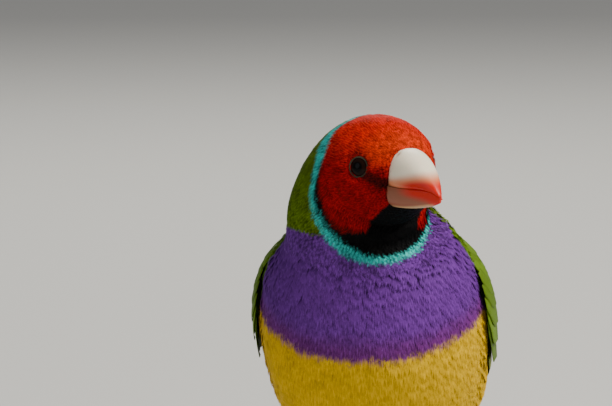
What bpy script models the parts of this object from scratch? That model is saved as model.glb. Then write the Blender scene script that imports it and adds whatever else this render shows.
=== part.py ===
# Gouldian finch, a cock bird of the red-headed form, life size.
# It stands on level ground with its head turned to its own left.
# The bird faces -Y, its left side is +X and the ground is z = 0. Sizes below are in millimetres.
import math
from collections import namedtuple

import bmesh
import bpy
import numpy as np
from mathutils import Matrix, Vector

MM = 0.001

# Driving dimensions of the bird
BODY_WIDTH = 37.0
BODY_DEPTH = 33.0
HEAD_WIDTH = 19.6
HEAD_YAW = 36.0
HEAD_PLACE = (2.5, -13.5, 79.0)
BILL_LENGTH = 10.5
BILL_WIDTH = 7.8
EYE_RADIUS = 2.4
TAIL_LENGTH = 62.0
TAIL_DROP = 23.0
TOE_RADIUS = 0.78
CLAW_LENGTH = 3.4

# The gap that touching pieces keep, and the thickness of a feather vane
GAP = 0.3
VANE = 0.5

# The middle of the bird from bill tip to tail tip, which is brought over the origin
MIDDLE_Y = 28.26

COLOURS = {
    "red": (0.62, 0.02, 0.01),
    "green": (0.10, 0.26, 0.02),
    "purple": (0.10, 0.05, 0.22),
    "olive": (0.14, 0.17, 0.03),
    "black": (0.012, 0.011, 0.012),
    "bill": (0.86, 0.72, 0.60),
    "eye": (0.01, 0.006, 0.004),
    "yellow": (0.85, 0.50, 0.01),
    "flesh": (0.60, 0.36, 0.28),
    "claw": (0.42, 0.30, 0.24),
}

# One cross-section of the body: its centre, the tilt and turn of its plane in degrees,
# and its half width, and its depth above and below the centre.
Section = namedtuple("Section", "x y z tilt yaw half_width dorsal ventral")


def trunk_section(y, z, tilt, width_share, dorsal_share, ventral_share):
    return Section(
        0.0,
        y,
        z,
        tilt,
        0.0,
        width_share * BODY_WIDTH / 2,
        dorsal_share * BODY_DEPTH / 2,
        ventral_share * BODY_DEPTH / 2,
    )


def head_matrix():
    return Matrix.Translation(HEAD_PLACE) @ Matrix.Rotation(math.radians(HEAD_YAW), 4, "Z")


def head_section(y, z, tilt, turn_share, width_share, dorsal_share, ventral_share):
    centre = head_matrix() @ Vector((0, y, z))
    radius = HEAD_WIDTH / 2
    return Section(
        *centre,
        tilt,
        turn_share * HEAD_YAW,
        width_share * radius,
        dorsal_share * radius,
        ventral_share * radius,
    )


# The body from the tail to the bill. The first two sections only carry the wing tips over the tail.
FORM = [
    trunk_section(46.0, 21.6, 24, 0.33, 0.17, 0.22),
    trunk_section(37.5, 25.2, 25, 0.34, 0.21, 0.24),
    trunk_section(29.0, 28.4, 27, 0.31, 0.26, 0.25),
    trunk_section(22.0, 32.0, 34, 0.66, 0.48, 0.60),
    trunk_section(14.0, 37.6, 38, 0.96, 0.76, 1.00),
    trunk_section(6.0, 44.2, 42, 1.02, 0.93, 1.20),
    trunk_section(-1.0, 51.8, 48, 1.03, 0.96, 1.20),
    trunk_section(-5.8, 59.2, 55, 0.95, 0.84, 1.02),
    trunk_section(-8.6, 65.6, 61, 0.78, 0.72, 0.74),
    head_section(7.2, -8.7, 60, 0.55, 1.23, 1.12, 1.12),
    head_section(4.8, -3.9, 44, 1.0, 1.12, 1.05, 1.08),
    head_section(0.6, -0.8, 20, 1.0, 1.02, 0.93, 0.97),
    head_section(-4.4, -0.9, 6, 1.0, 0.87, 0.84, 0.88),
    head_section(-9.4, -1.3, 0, 1.0, 0.50, 0.50, 0.53),
]
TAIL_ROOT, NECK_CUT, HEAD_CUT, FACE = 2.0, 7.75, 9.45, 13.0
RING_STEPS = 32


def section_at(t):
    # A smooth curve through the sections; t counts them from the tail.
    i = int(min(max(math.floor(t), 0), len(FORM) - 2))
    u = t - i
    a, b, c, d = (np.array(FORM[min(max(j, 0), len(FORM) - 1)]) for j in range(i - 1, i + 3))
    curve = 2 * b + (c - a) * u + (2 * a - 5 * b + 4 * c - d) * u**2
    return Section(*(0.5 * (curve + (3 * b - a - 3 * c + d) * u**3)))


def section_axes(section):
    # Right, dorsal and forward directions of a section's plane.
    tilt, yaw = math.radians(section.tilt), math.radians(section.yaw)
    turn = np.array([[math.cos(yaw), -math.sin(yaw), 0], [math.sin(yaw), math.cos(yaw), 0], [0, 0, 1]])
    across = turn @ np.array([1.0, 0, 0])
    dorsal = turn @ np.array([0, math.sin(tilt), math.cos(tilt)])
    forward = turn @ np.array([0, -math.cos(tilt), math.sin(tilt)])
    return across, dorsal, forward


def bare_point(t, angle, shift=0.0):
    # A point of the body's surface. The angle runs from the bird's left side up to its back.
    section = section_at(t)
    across, dorsal, forward = section_axes(section)
    turn = math.radians(angle)
    depth = section.dorsal if math.sin(turn) > 0 else section.ventral
    centre = np.array(section[:3]) + forward * shift
    return centre + across * section.half_width * math.cos(turn) + dorsal * depth * math.sin(turn)


def surface_normal(t, angle):
    along = bare_point(t + 0.02, angle) - bare_point(t - 0.02, angle)
    round_it = bare_point(t, angle + 1) - bare_point(t, angle - 1)
    normal = np.cross(round_it, along)
    return normal / np.linalg.norm(normal)


def form_point(t, angle, lift=0.0):
    return bare_point(t, angle) + lift * surface_normal(t, angle)


# Mesh helpers


def clear_scene():
    for old in list(bpy.data.objects):
        bpy.data.objects.remove(old)


def material(name):
    found = bpy.data.materials.get(name)
    if found:
        return found
    made = bpy.data.materials.new(name)
    made.use_nodes = True
    shader = made.node_tree.nodes["Principled BSDF"]
    shader.inputs["Base Color"].default_value = (*COLOURS[name], 1)
    shader.inputs["Roughness"].default_value = 0.15 if name == "eye" else 0.55
    return made


def new_object(name, points, faces, colour):
    mesh = bpy.data.meshes.new(name)
    mesh.from_pydata([Vector(p) * MM for p in points], [], faces)
    shell = bmesh.new()
    shell.from_mesh(mesh)
    bmesh.ops.triangulate(shell, faces=shell.faces)
    bmesh.ops.recalc_face_normals(shell, faces=shell.faces)
    shell.to_mesh(mesh)
    shell.free()
    made = bpy.data.objects.new(name, mesh)
    bpy.context.scene.collection.objects.link(made)
    mesh.materials.append(material(colour))
    return made


def tube_faces(rings, around):
    # Faces of a closed tube: triangles along its sides and a flat fan at each end.
    faces = []
    for i in range(rings - 1):
        for j in range(around):
            k = (j + 1) % around
            a, b = i * around + j, i * around + k
            faces += [(a, b, b + around), (a, b + around, a + around)]
    faces.append(tuple(range(around))[::-1])
    faces.append(tuple((rings - 1) * around + j for j in range(around)))
    return faces


def tube(name, rings, colour):
    around = len(rings[0])
    return new_object(name, [p for ring in rings for p in ring], tube_faces(len(rings), around), colour)


def round_tube(name, path, radii, colour, around=10, floor=None, level=False):
    # A tube of round sections along a path, level ones if asked. Below a floor it is pressed flat.
    path = [Vector(p) for p in path]
    rings = []
    for i, (centre, radius) in enumerate(zip(path, radii)):
        along = (path[min(i + 1, len(path) - 1)] - path[max(i - 1, 0)]).normalized()
        if level:
            along = Vector((0, 0, 1))
        side = along.cross(Vector((0, 0, 1)))
        side = side.normalized() if side.length > 1e-3 else Vector((1, 0, 0))
        top = side.cross(along)
        ring = []
        for j in range(around):
            turn = 2 * math.pi * j / around
            point = centre + radius * (math.cos(turn) * side + math.sin(turn) * top)
            if floor is not None:
                point.z = max(point.z, floor)
            ring.append(point)
        rings.append(ring)
    return tube(name, rings, colour)


def largest_part(mesh):
    # Keeps the largest closed surface, which drops loose scraps and sealed hollows.
    shell = bmesh.new()
    shell.from_mesh(mesh)
    left, parts = set(shell.verts), []
    while left:
        part, edge = set(), [left.pop()]
        while edge:
            vert = edge.pop()
            part.add(vert)
            for joined in vert.link_edges:
                other = joined.other_vert(vert)
                if other in left:
                    left.remove(other)
                    edge.append(other)
        parts.append(part)
    parts.sort(key=len)
    for part in parts[:-1]:
        bmesh.ops.delete(shell, geom=list(part), context="VERTS")
    bmesh.ops.triangulate(shell, faces=shell.faces)
    shell.to_mesh(mesh)
    shell.free()


def apply_boolean(target, helpers, operation, solver="EXACT"):
    group = bpy.data.collections.new("helpers")
    for helper in helpers:
        group.objects.link(helper)
    step = target.modifiers.new(operation, "BOOLEAN")
    step.operation = operation
    step.operand_type = "COLLECTION"
    step.collection = group
    step.solver = solver
    bpy.context.view_layer.update()
    graph = bpy.context.evaluated_depsgraph_get()
    result = bpy.data.meshes.new_from_object(target.evaluated_get(graph))
    target.modifiers.clear()
    old = target.data
    target.data = result
    result.name = target.name
    bpy.data.meshes.remove(old)
    for helper in helpers:
        bpy.data.objects.remove(helper)
    bpy.data.collections.remove(group)
    largest_part(target.data)
    return target


# Body: torso, neck and head, parted by flat cuts


def body_piece(name, start, end, steps, colour):
    # The stretch of the body between two cuts. Each cut is a flat plane, half the gap back from its place.
    rings = []
    for i in range(steps + 1):
        t = start + (end - start) * i / steps
        shift = GAP / 2 if i == 0 else -GAP / 2 if i == steps else 0.0
        rings.append([bare_point(t, 360 * j / RING_STEPS, shift) for j in range(RING_STEPS)])
    return tube(name, rings, colour)


def head_place(x, y, z):
    return head_matrix() @ Vector((x, y, z))


# Lids: how far their ring lies along the eye's axis, its radius and its thickness
LID_REACH, LID_RING, LID_THICKNESS = 1.75, 2.1, 0.42


def eye_axis(side):
    # Each eye looks out to its side and a little forward.
    out = Vector((side * 0.85, -0.50, 0.13)).normalized()
    return (head_matrix().to_3x3() @ out).normalized()


def eye_centre(side):
    return head_place(side * 5.95, -4.6, 0.2)


def ball(name, centre, radius, colour, around=14, rows=9, stretch=(1, 1, 1)):
    shell = bmesh.new()
    bmesh.ops.create_uvsphere(shell, u_segments=around, v_segments=rows, radius=1.0)
    points = [Vector(centre) + Vector(v.co * radius) * Vector(stretch) for v in shell.verts]
    faces = [[v.index for v in face.verts] for face in shell.faces]
    shell.free()
    return new_object(name, points, faces, colour)


def ring_round(name, centre, axis, ring_radius, wire_radius, colour, around=18, wire_steps=6):
    axis = axis.normalized()
    side = axis.cross(Vector((0, 0, 1))).normalized()
    top = side.cross(axis)
    points, faces = [], []
    for i in range(around):
        turn = 2 * math.pi * i / around
        out = math.cos(turn) * side + math.sin(turn) * top
        for j in range(wire_steps):
            bend = 2 * math.pi * j / wire_steps
            spot = centre + out * (ring_radius + wire_radius * math.cos(bend))
            points.append(spot + axis * wire_radius * math.sin(bend))
            a, b = i * wire_steps + j, i * wire_steps + (j + 1) % wire_steps
            c, d = ((i + 1) % around) * wire_steps + (j + 1) % wire_steps, ((i + 1) % around) * wire_steps + j
            faces.append((a, b, c, d))
    return new_object(name, points, faces, colour)


def make_head():
    head = body_piece("head", HEAD_CUT, FACE, 13, "red")
    lids = [
        ring_round(
            f"lid_{side}",
            eye_centre(side) + eye_axis(side) * LID_REACH,
            eye_axis(side),
            LID_RING,
            LID_THICKNESS,
            "red",
        )
        for side in (-1, 1)
    ]
    apply_boolean(head, lids, "UNION")
    sockets = [
        ball(f"socket_{side}", eye_centre(side), EYE_RADIUS + GAP, "red", 18, 12) for side in (-1, 1)
    ]
    apply_boolean(head, sockets, "DIFFERENCE")
    for side, name in ((1, "eye_left"), (-1, "eye_right")):
        ball(name, eye_centre(side), EYE_RADIUS, "eye")


# Bill: two curved mandibles with the mouth line between them

BILL_BASE_Y = -9.4 - GAP
CULMEN_Z, GAPE_Z, CHIN_Z, TIP_Z = 3.55, -2.45, -6.35, -4.1
BILL_STEPS, BILL_ARCH_STEPS = 9, 12


def bill_width(s):
    # Half width of the upper mandible at share s of its length.
    return max(0.12, 1 - s**1.6) * BILL_WIDTH / 2


def bill_heights(s):
    # Heights of the culmen, the cutting edge and the keel under the lower mandible.
    culmen = TIP_Z + (CULMEN_Z - TIP_Z) * (1 - s**1.75) ** 0.86
    wave = -0.12 * math.sin(2 * math.pi * s)
    edge = GAPE_Z + (TIP_Z + 0.25 - GAPE_Z) * s**6 + wave
    keel = CHIN_Z + (TIP_Z - 0.2 - CHIN_Z) * s**2.0
    return culmen, edge, keel


def arch(y, half_width, edge, peak, fullness):
    # A half-round section that stands on its cutting edge.
    ring = []
    for j in range(BILL_ARCH_STEPS + 1):
        turn = math.pi * j / BILL_ARCH_STEPS
        c, s = math.cos(turn), math.sin(turn)
        x = half_width * math.copysign(abs(c) ** fullness, c)
        ring.append(head_place(x, y, edge + (peak - edge) * s**fullness))
    return ring


def make_bill():
    upper, lower = [], []
    for i in range(BILL_STEPS + 1):
        s = i / BILL_STEPS
        culmen, edge, _ = bill_heights(s)
        y = BILL_BASE_Y - BILL_LENGTH * s
        upper.append(arch(y, bill_width(s), edge, max(culmen, edge + 0.3), 0.78))
        s_low = s * 0.94
        _, edge, keel = bill_heights(s_low)
        y = BILL_BASE_Y - BILL_LENGTH * s_low
        low_width = max(0.2, bill_width(s_low) * (1.08 - 0.2 * s_low))
        lower.append(arch(y, low_width, edge - GAP, min(keel, edge - GAP - 0.25), 0.55 + 0.3 * s_low))
    beak = tube("bill_upper", upper, "bill")
    tube("bill_lower", lower, "bill")
    nostrils = [
        ball(f"nostril_{side}", head_place(side * 2.45, -10.1, 2.75), 0.42, "bill", 8, 6)
        for side in (-1, 1)
    ]
    apply_boolean(beak, nostrils, "DIFFERENCE")


# Feather vanes


def rounded_outline(a):
    # Width share of a vane along its length: narrow quill, full blade, round end.
    return max(0.34, min(1.0, 0.55 + 2.2 * a) * math.sqrt(max(0.0, 1 - max(0.0, (a - 0.62) / 0.42) ** 2)))


def pointed_outline(a):
    return max(0.20, min(1.0, 0.5 + 2.0 * a) * (1 - max(0.0, (a - 0.55) / 0.52) ** 1.8))


def streamer_outline(a):
    # The middle tail feathers, which narrow to a wire.
    return max(0.10, min(1.0, 0.7 + 1.5 * a) * (1 - 0.92 * min(1.0, max(0.0, (a - 0.35) / 0.5)) ** 1.3))


def grid_blade(name, lower_points, upper_points, colour):
    # A closed thin blade from two like grids of points, split alike on both faces.
    rows, columns = len(lower_points), len(lower_points[0])
    points = [p for row in lower_points for p in row] + [p for row in upper_points for p in row]
    top = rows * columns

    def at(i, j, side):
        return side * top + i * columns + j

    faces = []
    for i in range(rows - 1):
        for j in range(columns - 1):
            for side in (0, 1):
                faces.append((at(i, j, side), at(i + 1, j, side), at(i + 1, j + 1, side)))
                faces.append((at(i, j, side), at(i + 1, j + 1, side), at(i, j + 1, side)))
    rim = [(i, 0) for i in range(rows)] + [(rows - 1, j) for j in range(1, columns)]
    rim += [(i, columns - 1) for i in range(rows - 2, -1, -1)] + [(0, j) for j in range(columns - 2, 0, -1)]
    for here, there in zip(rim, rim[1:] + rim[:1]):
        faces.append((at(*here, 0), at(*there, 0), at(*there, 1), at(*here, 1)))
    return new_object(name, points, faces, colour)


def lie_point(root, tip, share):
    # Where a straight quill from root to tip lies over the body at a share of its length.
    start, end = bare_point(*root), bare_point(*tip)
    t = root[0] + (tip[0] - root[0]) * share
    section = section_at(t)
    across, dorsal, forward = section_axes(section)
    centre = np.array(section[:3])
    along = ((centre - start) @ forward) / ((end - start) @ forward)
    spot = start + along * (end - start) - centre
    depth = section.dorsal if spot @ dorsal > 0 else section.ventral
    return t, math.degrees(math.atan2(spot @ dorsal / depth, spot @ across / section.half_width))


def body_vane(name, root, tip, half_width, lifts, shingle, outline, steps, columns, side, colour):
    # A vane that lies over the body from root to tip, each given as (t, angle) on the left side.
    lower, upper = [], []
    for i in range(steps + 1):
        share = i / steps
        t, angle = lie_point(root, tip, share)
        width = half_width * outline(share)
        per_degree = np.linalg.norm(bare_point(t, angle + 1) - bare_point(t, angle - 1)) / 2
        low_row, high_row = [], []
        for j in range(columns + 1):
            b = 2 * j / columns - 1
            spot = angle + b * width / per_degree
            lift = lifts[0] + (lifts[1] - lifts[0]) * share**0.8 + shingle * b
            thick = VANE * (1 - 0.35 * share)
            for row, height in ((low_row, lift), (high_row, lift + thick)):
                point = form_point(t, spot, height)
                row.append((side * point[0], point[1], point[2]))
        lower.append(low_row)
        upper.append(high_row)
    return grid_blade(name, lower, upper, colour)


# Wings: a core along the folded arm, with tiers of vanes sunk in it

WING_CORE_T = (7.05, 3.9)
WING_CORE_LIFT = 1.1
WING_CLEARANCE = 0.5


def wing_edges(share):
    # Lower and upper angle of the core from the wrist back.
    low = 26 - 40 * share**0.45 + 12 * share**2
    high = 34 + 30 * share**0.6
    return low, high


def wing_core(name, side):
    steps, columns = 8, 6
    lower, upper = [], []
    for i in range(steps + 1):
        share = i / steps
        t = WING_CORE_T[0] + (WING_CORE_T[1] - WING_CORE_T[0]) * share
        low, high = wing_edges(share)
        low_row, high_row = [], []
        for j in range(columns + 1):
            b = j / columns
            angle = low + (high - low) * b
            swell = math.sqrt(max(0.0, 1 - (2 * b - 1) ** 2)) * min(1.0, 0.45 + 2.2 * share)
            for row, lift in ((low_row, WING_CLEARANCE), (high_row, WING_CLEARANCE + 0.5 + WING_CORE_LIFT * swell)):
                point = form_point(t, angle, lift)
                row.append((side * point[0], point[1], point[2]))
        lower.append(low_row)
        upper.append(high_row)
    return grid_blade(name, lower, upper, "olive")


def spread(low, high, i, count):
    return low + (high - low) * i / max(1, count - 1)


def wing_vanes(side):
    # Tiers of the folded wing, from the flight feathers under to the small coverts over them.
    made = []
    primaries, secondaries = 6, 4
    for i in range(primaries):
        root = (5.0, spread(-2, 12, i, primaries))
        tip = (spread(0.10, 1.95, i, primaries), spread(58, 63, i, primaries))
        lifts = (0.75, spread(0.50, 1.15, i, primaries))
        made.append(
            body_vane(f"primary_{i}", root, tip, 2.0, lifts, 0.16, pointed_outline, 6, 1, side, "olive")
        )
    for i in range(secondaries):
        root = (5.0, spread(13, 40, i, secondaries))
        tip = (spread(2.35, 2.9, i, secondaries), spread(52, 66, i, secondaries))
        lifts = (1.0, spread(1.1, 1.5, i, secondaries))
        made.append(
            body_vane(f"secondary_{i}", root, tip, 2.7, lifts, 0.16, rounded_outline, 4, 1, side, "olive")
        )
    for i, (angle, end) in enumerate(((44, 3.05), (54, 3.3), (63, 3.75))):
        lifts = (1.2, 1.55 + 0.1 * i)
        made.append(
            body_vane(f"tertial_{i}", (5.1, angle), (end, angle + 14), 3.2, lifts, 0.1, rounded_outline,
                      4, 2, side, "olive")
        )
    tiers = (
        ("greater", 6, (6.0, 4.75), (2, 52), 3.0, (0.9, 1.45)),
        ("median", 4, (6.5, 5.55), (4, 50), 3.7, (0.9, 1.6)),
        ("lesser", 3, (6.95, 6.2), (12, 46), 3.9, (0.6, 1.5)),
    )
    for tier, count, (start, end), (low, high), half_width, lifts in tiers:
        for i in range(count):
            angle = spread(low, high, i, count)
            made.append(
                body_vane(f"{tier}_{i}", (start, angle), (end, angle + 3), half_width, lifts, 0.12,
                          rounded_outline, 3, 2, side, "green")
            )
    return made


def make_wing(name, side):
    wing = wing_core(name, side)
    apply_boolean(wing, wing_vanes(side), "UNION")
    return apply_boolean(wing, [body_envelope(GAP)], "DIFFERENCE")


# Tail: a core that meets the rump, with tail feathers and coverts sunk in it


def tail_frame():
    # Origin, backward and upward directions of the tail.
    section = section_at(TAIL_ROOT)
    drop = math.radians(TAIL_DROP)
    back = np.array([0, math.cos(drop), -math.sin(drop)])
    up = np.array([0, math.sin(drop), math.cos(drop)])
    return np.array(section[:3]), back, up


def tail_core(name):
    section = section_at(TAIL_ROOT)
    across, dorsal, forward = section_axes(section)
    origin, back, up = tail_frame()
    rings = []
    around, steps, length = 18, 5, 15.0
    for i in range(steps + 1):
        share = i / steps
        keep = 1 - 0.85 * share**0.8
        ring = []
        for j in range(around):
            turn = 2 * math.pi * j / around
            depth = section.dorsal if math.sin(turn) > 0 else section.ventral
            if i == 0:
                centre = origin - forward * GAP / 2
                height = dorsal
            else:
                centre = origin + back * length * share - up * 0.35 * share
                height = up
            flat = across * section.half_width * math.cos(turn) * (1 - 0.40 * share**0.7)
            ring.append(centre + flat + height * depth * math.sin(turn) * keep)
        rings.append(ring)
    return tube(name, rings, "black")


def tail_vane(name, start, length, sideways, fan, height, half_width, outline, steps, colour, curl=0.0):
    # A flat feather of the tail: its root place, length, fan angle and height in the stack.
    origin, back, up = tail_frame()
    turn = math.radians(fan)
    lower, upper = [], []
    for i in range(steps + 1):
        share = i / steps
        run = start + length * share
        middle = sideways + length * share * math.sin(turn)
        width = half_width * outline(share)
        thick = VANE * (1 - 0.3 * share)
        low_row, high_row = [], []
        for b in (-1, 0, 1):
            lift = height - 0.35 * abs(b) * width / half_width - 0.022 * (middle**2) * 0.5
            lift += curl * share**2
            spot = origin + back * run + np.array([middle + b * width, 0, 0])
            low_row.append(spot + up * lift)
            high_row.append(spot + up * (lift + thick))
        lower.append(low_row)
        upper.append(high_row)
    return grid_blade(name, lower, upper, colour)


def make_tail():
    tail = tail_core("tail")
    lengths = (TAIL_LENGTH, 50.0, 47.0, 44.0, 41.0, 38.0)
    vanes = []
    for i, length in enumerate(lengths):
        for side in (-1, 1):
            stagger = 0.09 if side > 0 else 0.0
            outline = streamer_outline if i == 0 else pointed_outline
            vanes.append(
                tail_vane(
                    f"rectrix_{i}_{side}",
                    2.5,
                    length - 2.5,
                    side * (0.75 + 0.42 * i),
                    side * (0.25 + 0.75 * i),
                    0.55 - 0.3 * i + stagger,
                    2.5 if i else 2.3,
                    outline,
                    6 if i else 8,
                    "black",
                )
            )
    for i, (sideways, length) in enumerate(((0.0, 17.0), (-1.7, 14.5), (1.7, 14.5), (-2.8, 11.0), (2.8, 11.0))):
        vanes.append(
            tail_vane(f"upper_covert_{i}", 1.0, length, sideways, 2.2 * sideways, 1.75 - 0.2 * i, 2.1,
                      rounded_outline, 3, "black", curl=-0.75)
        )
        vanes.append(
            tail_vane(f"under_covert_{i}", 1.0, length + 2, sideways, 2.2 * sideways, -3.0 + 0.2 * i, 2.4,
                      rounded_outline, 3, "black", curl=0.9)
        )
    apply_boolean(tail, vanes, "UNION")


# Legs: feathered thigh, bare shank, foot with four toes, and claws

HIP = (8.2, 1.5, 32.5)
ANKLE = (9.2, 7.4, 16.4)
FOOT = (10.2, 1.6, 1.35)
# Toe lengths and headings in degrees from straight ahead, outwards positive; the last is the hind toe
TOES = {"inner": (7.6, -21.0), "middle": (11.2, 2.0), "outer": (8.2, 27.0), "hind": (6.6, 184.0)}


def mirrored(point, side):
    return Vector((side * point[0], point[1], point[2]))


def make_thigh(name, side):
    top, bottom = mirrored(HIP, side), mirrored(ANKLE, side) + Vector((0, 0, GAP / 2))
    path = [top.lerp(bottom, share) + Vector((0, -1.5 * math.sin(math.pi * share), 0))
            for share in (0.0, 0.2, 0.4, 0.6, 0.8, 0.93, 1.0)]
    thigh = round_tube(name, path, (6.4, 6.0, 5.0, 3.8, 2.6, 1.9, 1.25), "yellow", 14, level=True)
    cutter = body_envelope(GAP)
    return apply_boolean(thigh, [cutter], "DIFFERENCE")


def body_envelope(lift):
    # The trunk grown by a clearance, to trim what meets it.
    rings = []
    steps = 34
    for i in range(steps + 1):
        t = TAIL_ROOT + (NECK_CUT - TAIL_ROOT) * i / steps
        rings.append([form_point(t, 360 * j / RING_STEPS, lift) for j in range(RING_STEPS)])
    return tube("envelope", rings, "yellow")


def make_shank(name, side):
    start = mirrored(ANKLE, side) - Vector((0, 0, GAP / 2))
    end = foot_socket(side) + Vector((0, 0, GAP / 2))
    path = [start.lerp(end, share) for share in (0.0, 0.1, 0.3, 0.7, 0.92, 1.0)]
    return round_tube(name, path, (1.2, 1.15, 0.88, 0.82, 0.92, 1.0), "flesh", 10, level=True)


def foot_socket(side):
    # The middle of the cut between shank and foot.
    top, bottom = mirrored(ANKLE, side), mirrored(FOOT, side)
    return bottom.lerp(top, 2.0 / (top - bottom).length)


def toe_path(side, length, heading):
    turn = math.radians(heading)
    ahead = Vector((side * math.sin(turn), -math.cos(turn), 0))
    base = mirrored(FOOT, side)
    return base, ahead


def make_foot(name, side):
    base = mirrored(FOOT, side)
    socket = foot_socket(side) - Vector((0, 0, GAP / 2))
    path = [socket, base + Vector((0, 0, 0.5)), base - Vector((0, 0, 0.3))]
    knuckle = round_tube(name, path, (1.0, 1.15, 1.0), "flesh", 10, floor=0.0, level=True)
    toes = []
    for toe, (length, heading) in TOES.items():
        start, ahead = toe_path(side, length, heading)
        path, radii = [], []
        for share, swell in ((0, 1.1), (0.16, 0.95), (0.3, 1.08), (0.45, 0.9), (0.6, 1.05), (0.78, 0.86),
                             (0.92, 1.0), (1.0, 0.7)):
            spot = start + ahead * (length * share)
            spot.z = 0.62 + (start.z - 0.62) * max(0.0, 1 - share * 3.0)
            path.append(spot)
            radii.append(TOE_RADIUS * swell * (1 - 0.12 * share))
        toes.append(round_tube(f"toe_{toe}", path, radii, "flesh", 10, floor=0.0))
    apply_boolean(knuckle, toes, "UNION")
    for toe, (length, heading) in TOES.items():
        make_claw(f"claw_{toe}_{name.split('_')[1]}", side, length, heading)


def make_claw(name, side, length, heading):
    # A claw that starts a gap ahead of its toe and curves down to just over the ground.
    start, ahead = toe_path(side, length, heading)
    path, radii = [], []
    for share in (0.0, 0.3, 0.6, 0.85, 1.0):
        spot = start + ahead * (length + GAP + CLAW_LENGTH * share)
        spot.z = 0.68 + 0.35 * math.sin(math.pi * min(1.0, share * 1.1)) - 0.42 * share**2
        path.append(spot)
        radii.append(0.5 * (1 - 0.8 * share))
    return round_tube(name, path, radii, "claw", 8, floor=0.02)


def bring_over_origin():
    for made in bpy.context.scene.objects:
        made.data.transform(Matrix.Translation((0, -MIDDLE_Y * MM, 0)))
        made.data.shade_smooth()
        made.data.set_sharp_from_angle(angle=math.radians(40))


def build():
    clear_scene()
    body_piece("torso", TAIL_ROOT, NECK_CUT, 22, "purple")
    body_piece("neck", NECK_CUT, HEAD_CUT, 5, "green")
    make_head()
    make_bill()
    make_wing("wing_left", 1)
    make_wing("wing_right", -1)
    make_tail()
    for side, word in ((1, "left"), (-1, "right")):
        make_thigh(f"thigh_{word}", side)
        make_shank(f"shank_{word}", side)
        make_foot(f"foot_{word}", side)
    bring_over_origin()


build()
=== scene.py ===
import math

import bmesh
import bpy
import numpy as np
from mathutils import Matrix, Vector


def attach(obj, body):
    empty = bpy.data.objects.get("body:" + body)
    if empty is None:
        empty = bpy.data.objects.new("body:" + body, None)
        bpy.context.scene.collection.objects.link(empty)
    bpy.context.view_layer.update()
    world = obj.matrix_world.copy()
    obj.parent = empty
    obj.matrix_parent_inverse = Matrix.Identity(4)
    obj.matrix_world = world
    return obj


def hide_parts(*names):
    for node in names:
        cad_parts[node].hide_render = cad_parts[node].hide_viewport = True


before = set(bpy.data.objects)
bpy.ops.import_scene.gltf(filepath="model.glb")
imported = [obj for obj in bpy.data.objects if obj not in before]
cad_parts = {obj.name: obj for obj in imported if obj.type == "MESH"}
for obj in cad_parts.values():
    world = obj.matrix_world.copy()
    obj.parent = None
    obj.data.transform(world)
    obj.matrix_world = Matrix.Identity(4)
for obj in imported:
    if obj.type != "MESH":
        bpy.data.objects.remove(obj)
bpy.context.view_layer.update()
mm = 0.001

# The bird's form, in millimetres: cross-sections from the tail to the bill.
# Each row holds y, z, tilt, (turn share,) and shares of half width, back depth and belly depth.
birdForm = {
    "bodyWidth": 37.0,
    "bodyDepth": 33.0,
    "headWidth": 19.6,
    "headTurn": 36.0,
    "headPlace": (2.5, -13.5, 79.0),
    "middleY": 28.26,
    "trunk": [
        (46.0, 21.6, 24, 0.33, 0.17, 0.22),
        (37.5, 25.2, 25, 0.34, 0.21, 0.24),
        (29.0, 28.4, 27, 0.31, 0.26, 0.25),
        (22.0, 32.0, 34, 0.66, 0.48, 0.60),
        (14.0, 37.6, 38, 0.96, 0.76, 1.00),
        (6.0, 44.2, 42, 1.02, 0.93, 1.20),
        (-1.0, 51.8, 48, 1.03, 0.96, 1.20),
        (-5.8, 59.2, 55, 0.95, 0.84, 1.02),
        (-8.6, 65.6, 61, 0.78, 0.72, 0.74),
    ],
    "head": [
        (7.2, -8.7, 60, 0.55, 1.23, 1.12, 1.12),
        (4.8, -3.9, 44, 1.0, 1.12, 1.05, 1.08),
        (0.6, -0.8, 20, 1.0, 1.02, 0.93, 0.97),
        (-4.4, -0.9, 6, 1.0, 0.87, 0.84, 0.88),
        (-9.4, -1.3, 0, 1.0, 0.50, 0.50, 0.53),
    ],
}


def turnZ(degrees):
    a = math.radians(degrees)
    return np.array([[math.cos(a), -math.sin(a), 0], [math.sin(a), math.cos(a), 0], [0, 0, 1]])


headTurn = turnZ(birdForm["headTurn"])
headCentre = np.array(birdForm["headPlace"])


def headPoint(p):
    # From the head's own axes (x to its left, y back, z up) to the bird's.
    return headCentre + np.asarray(p, float) @ headTurn.T


def headLocal(p):
    return (np.asarray(p, float) - headCentre) @ headTurn


def formTable():
    halfWidth, halfDepth = birdForm["bodyWidth"] / 2, birdForm["bodyDepth"] / 2
    headRadius = birdForm["headWidth"] / 2
    rows = [(0, y, z, tilt, 0, w * halfWidth, d * halfDepth, v * halfDepth)
            for y, z, tilt, w, d, v in birdForm["trunk"]]
    for y, z, tilt, turn, *radii in birdForm["head"]:
        yaw = turn * birdForm["headTurn"]
        rows.append((*headPoint((0, y, z)), tilt, yaw, *(radius * headRadius for radius in radii)))
    return np.array(rows)


formRows = formTable()


def sectionsAt(t):
    # A smooth curve through the rows, for any share t along them.
    t = np.asarray(t, float)
    last = len(formRows) - 1
    i = np.clip(np.floor(t).astype(int), 0, last - 1)
    u = (t - i)[..., None]
    a, b, c, d = (formRows[np.clip(i + k, 0, last)] for k in (-1, 0, 1, 2))
    return 0.5 * (2 * b + (c - a) * u + (2 * a - 5 * b + 4 * c - d) * u**2 + (3 * b - a - 3 * c + d) * u**3)


def sectionAxes(rows):
    tilt, yaw = np.radians(rows[..., 3]), np.radians(rows[..., 4])
    cy, sy, ct, st = np.cos(yaw), np.sin(yaw), np.cos(tilt), np.sin(tilt)
    across = np.stack([cy, sy, 0 * cy], -1)
    dorsal = np.stack([-sy * st, cy * st, ct], -1)
    forward = np.stack([sy * ct, -cy * ct, st], -1)
    return across, dorsal, forward


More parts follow.
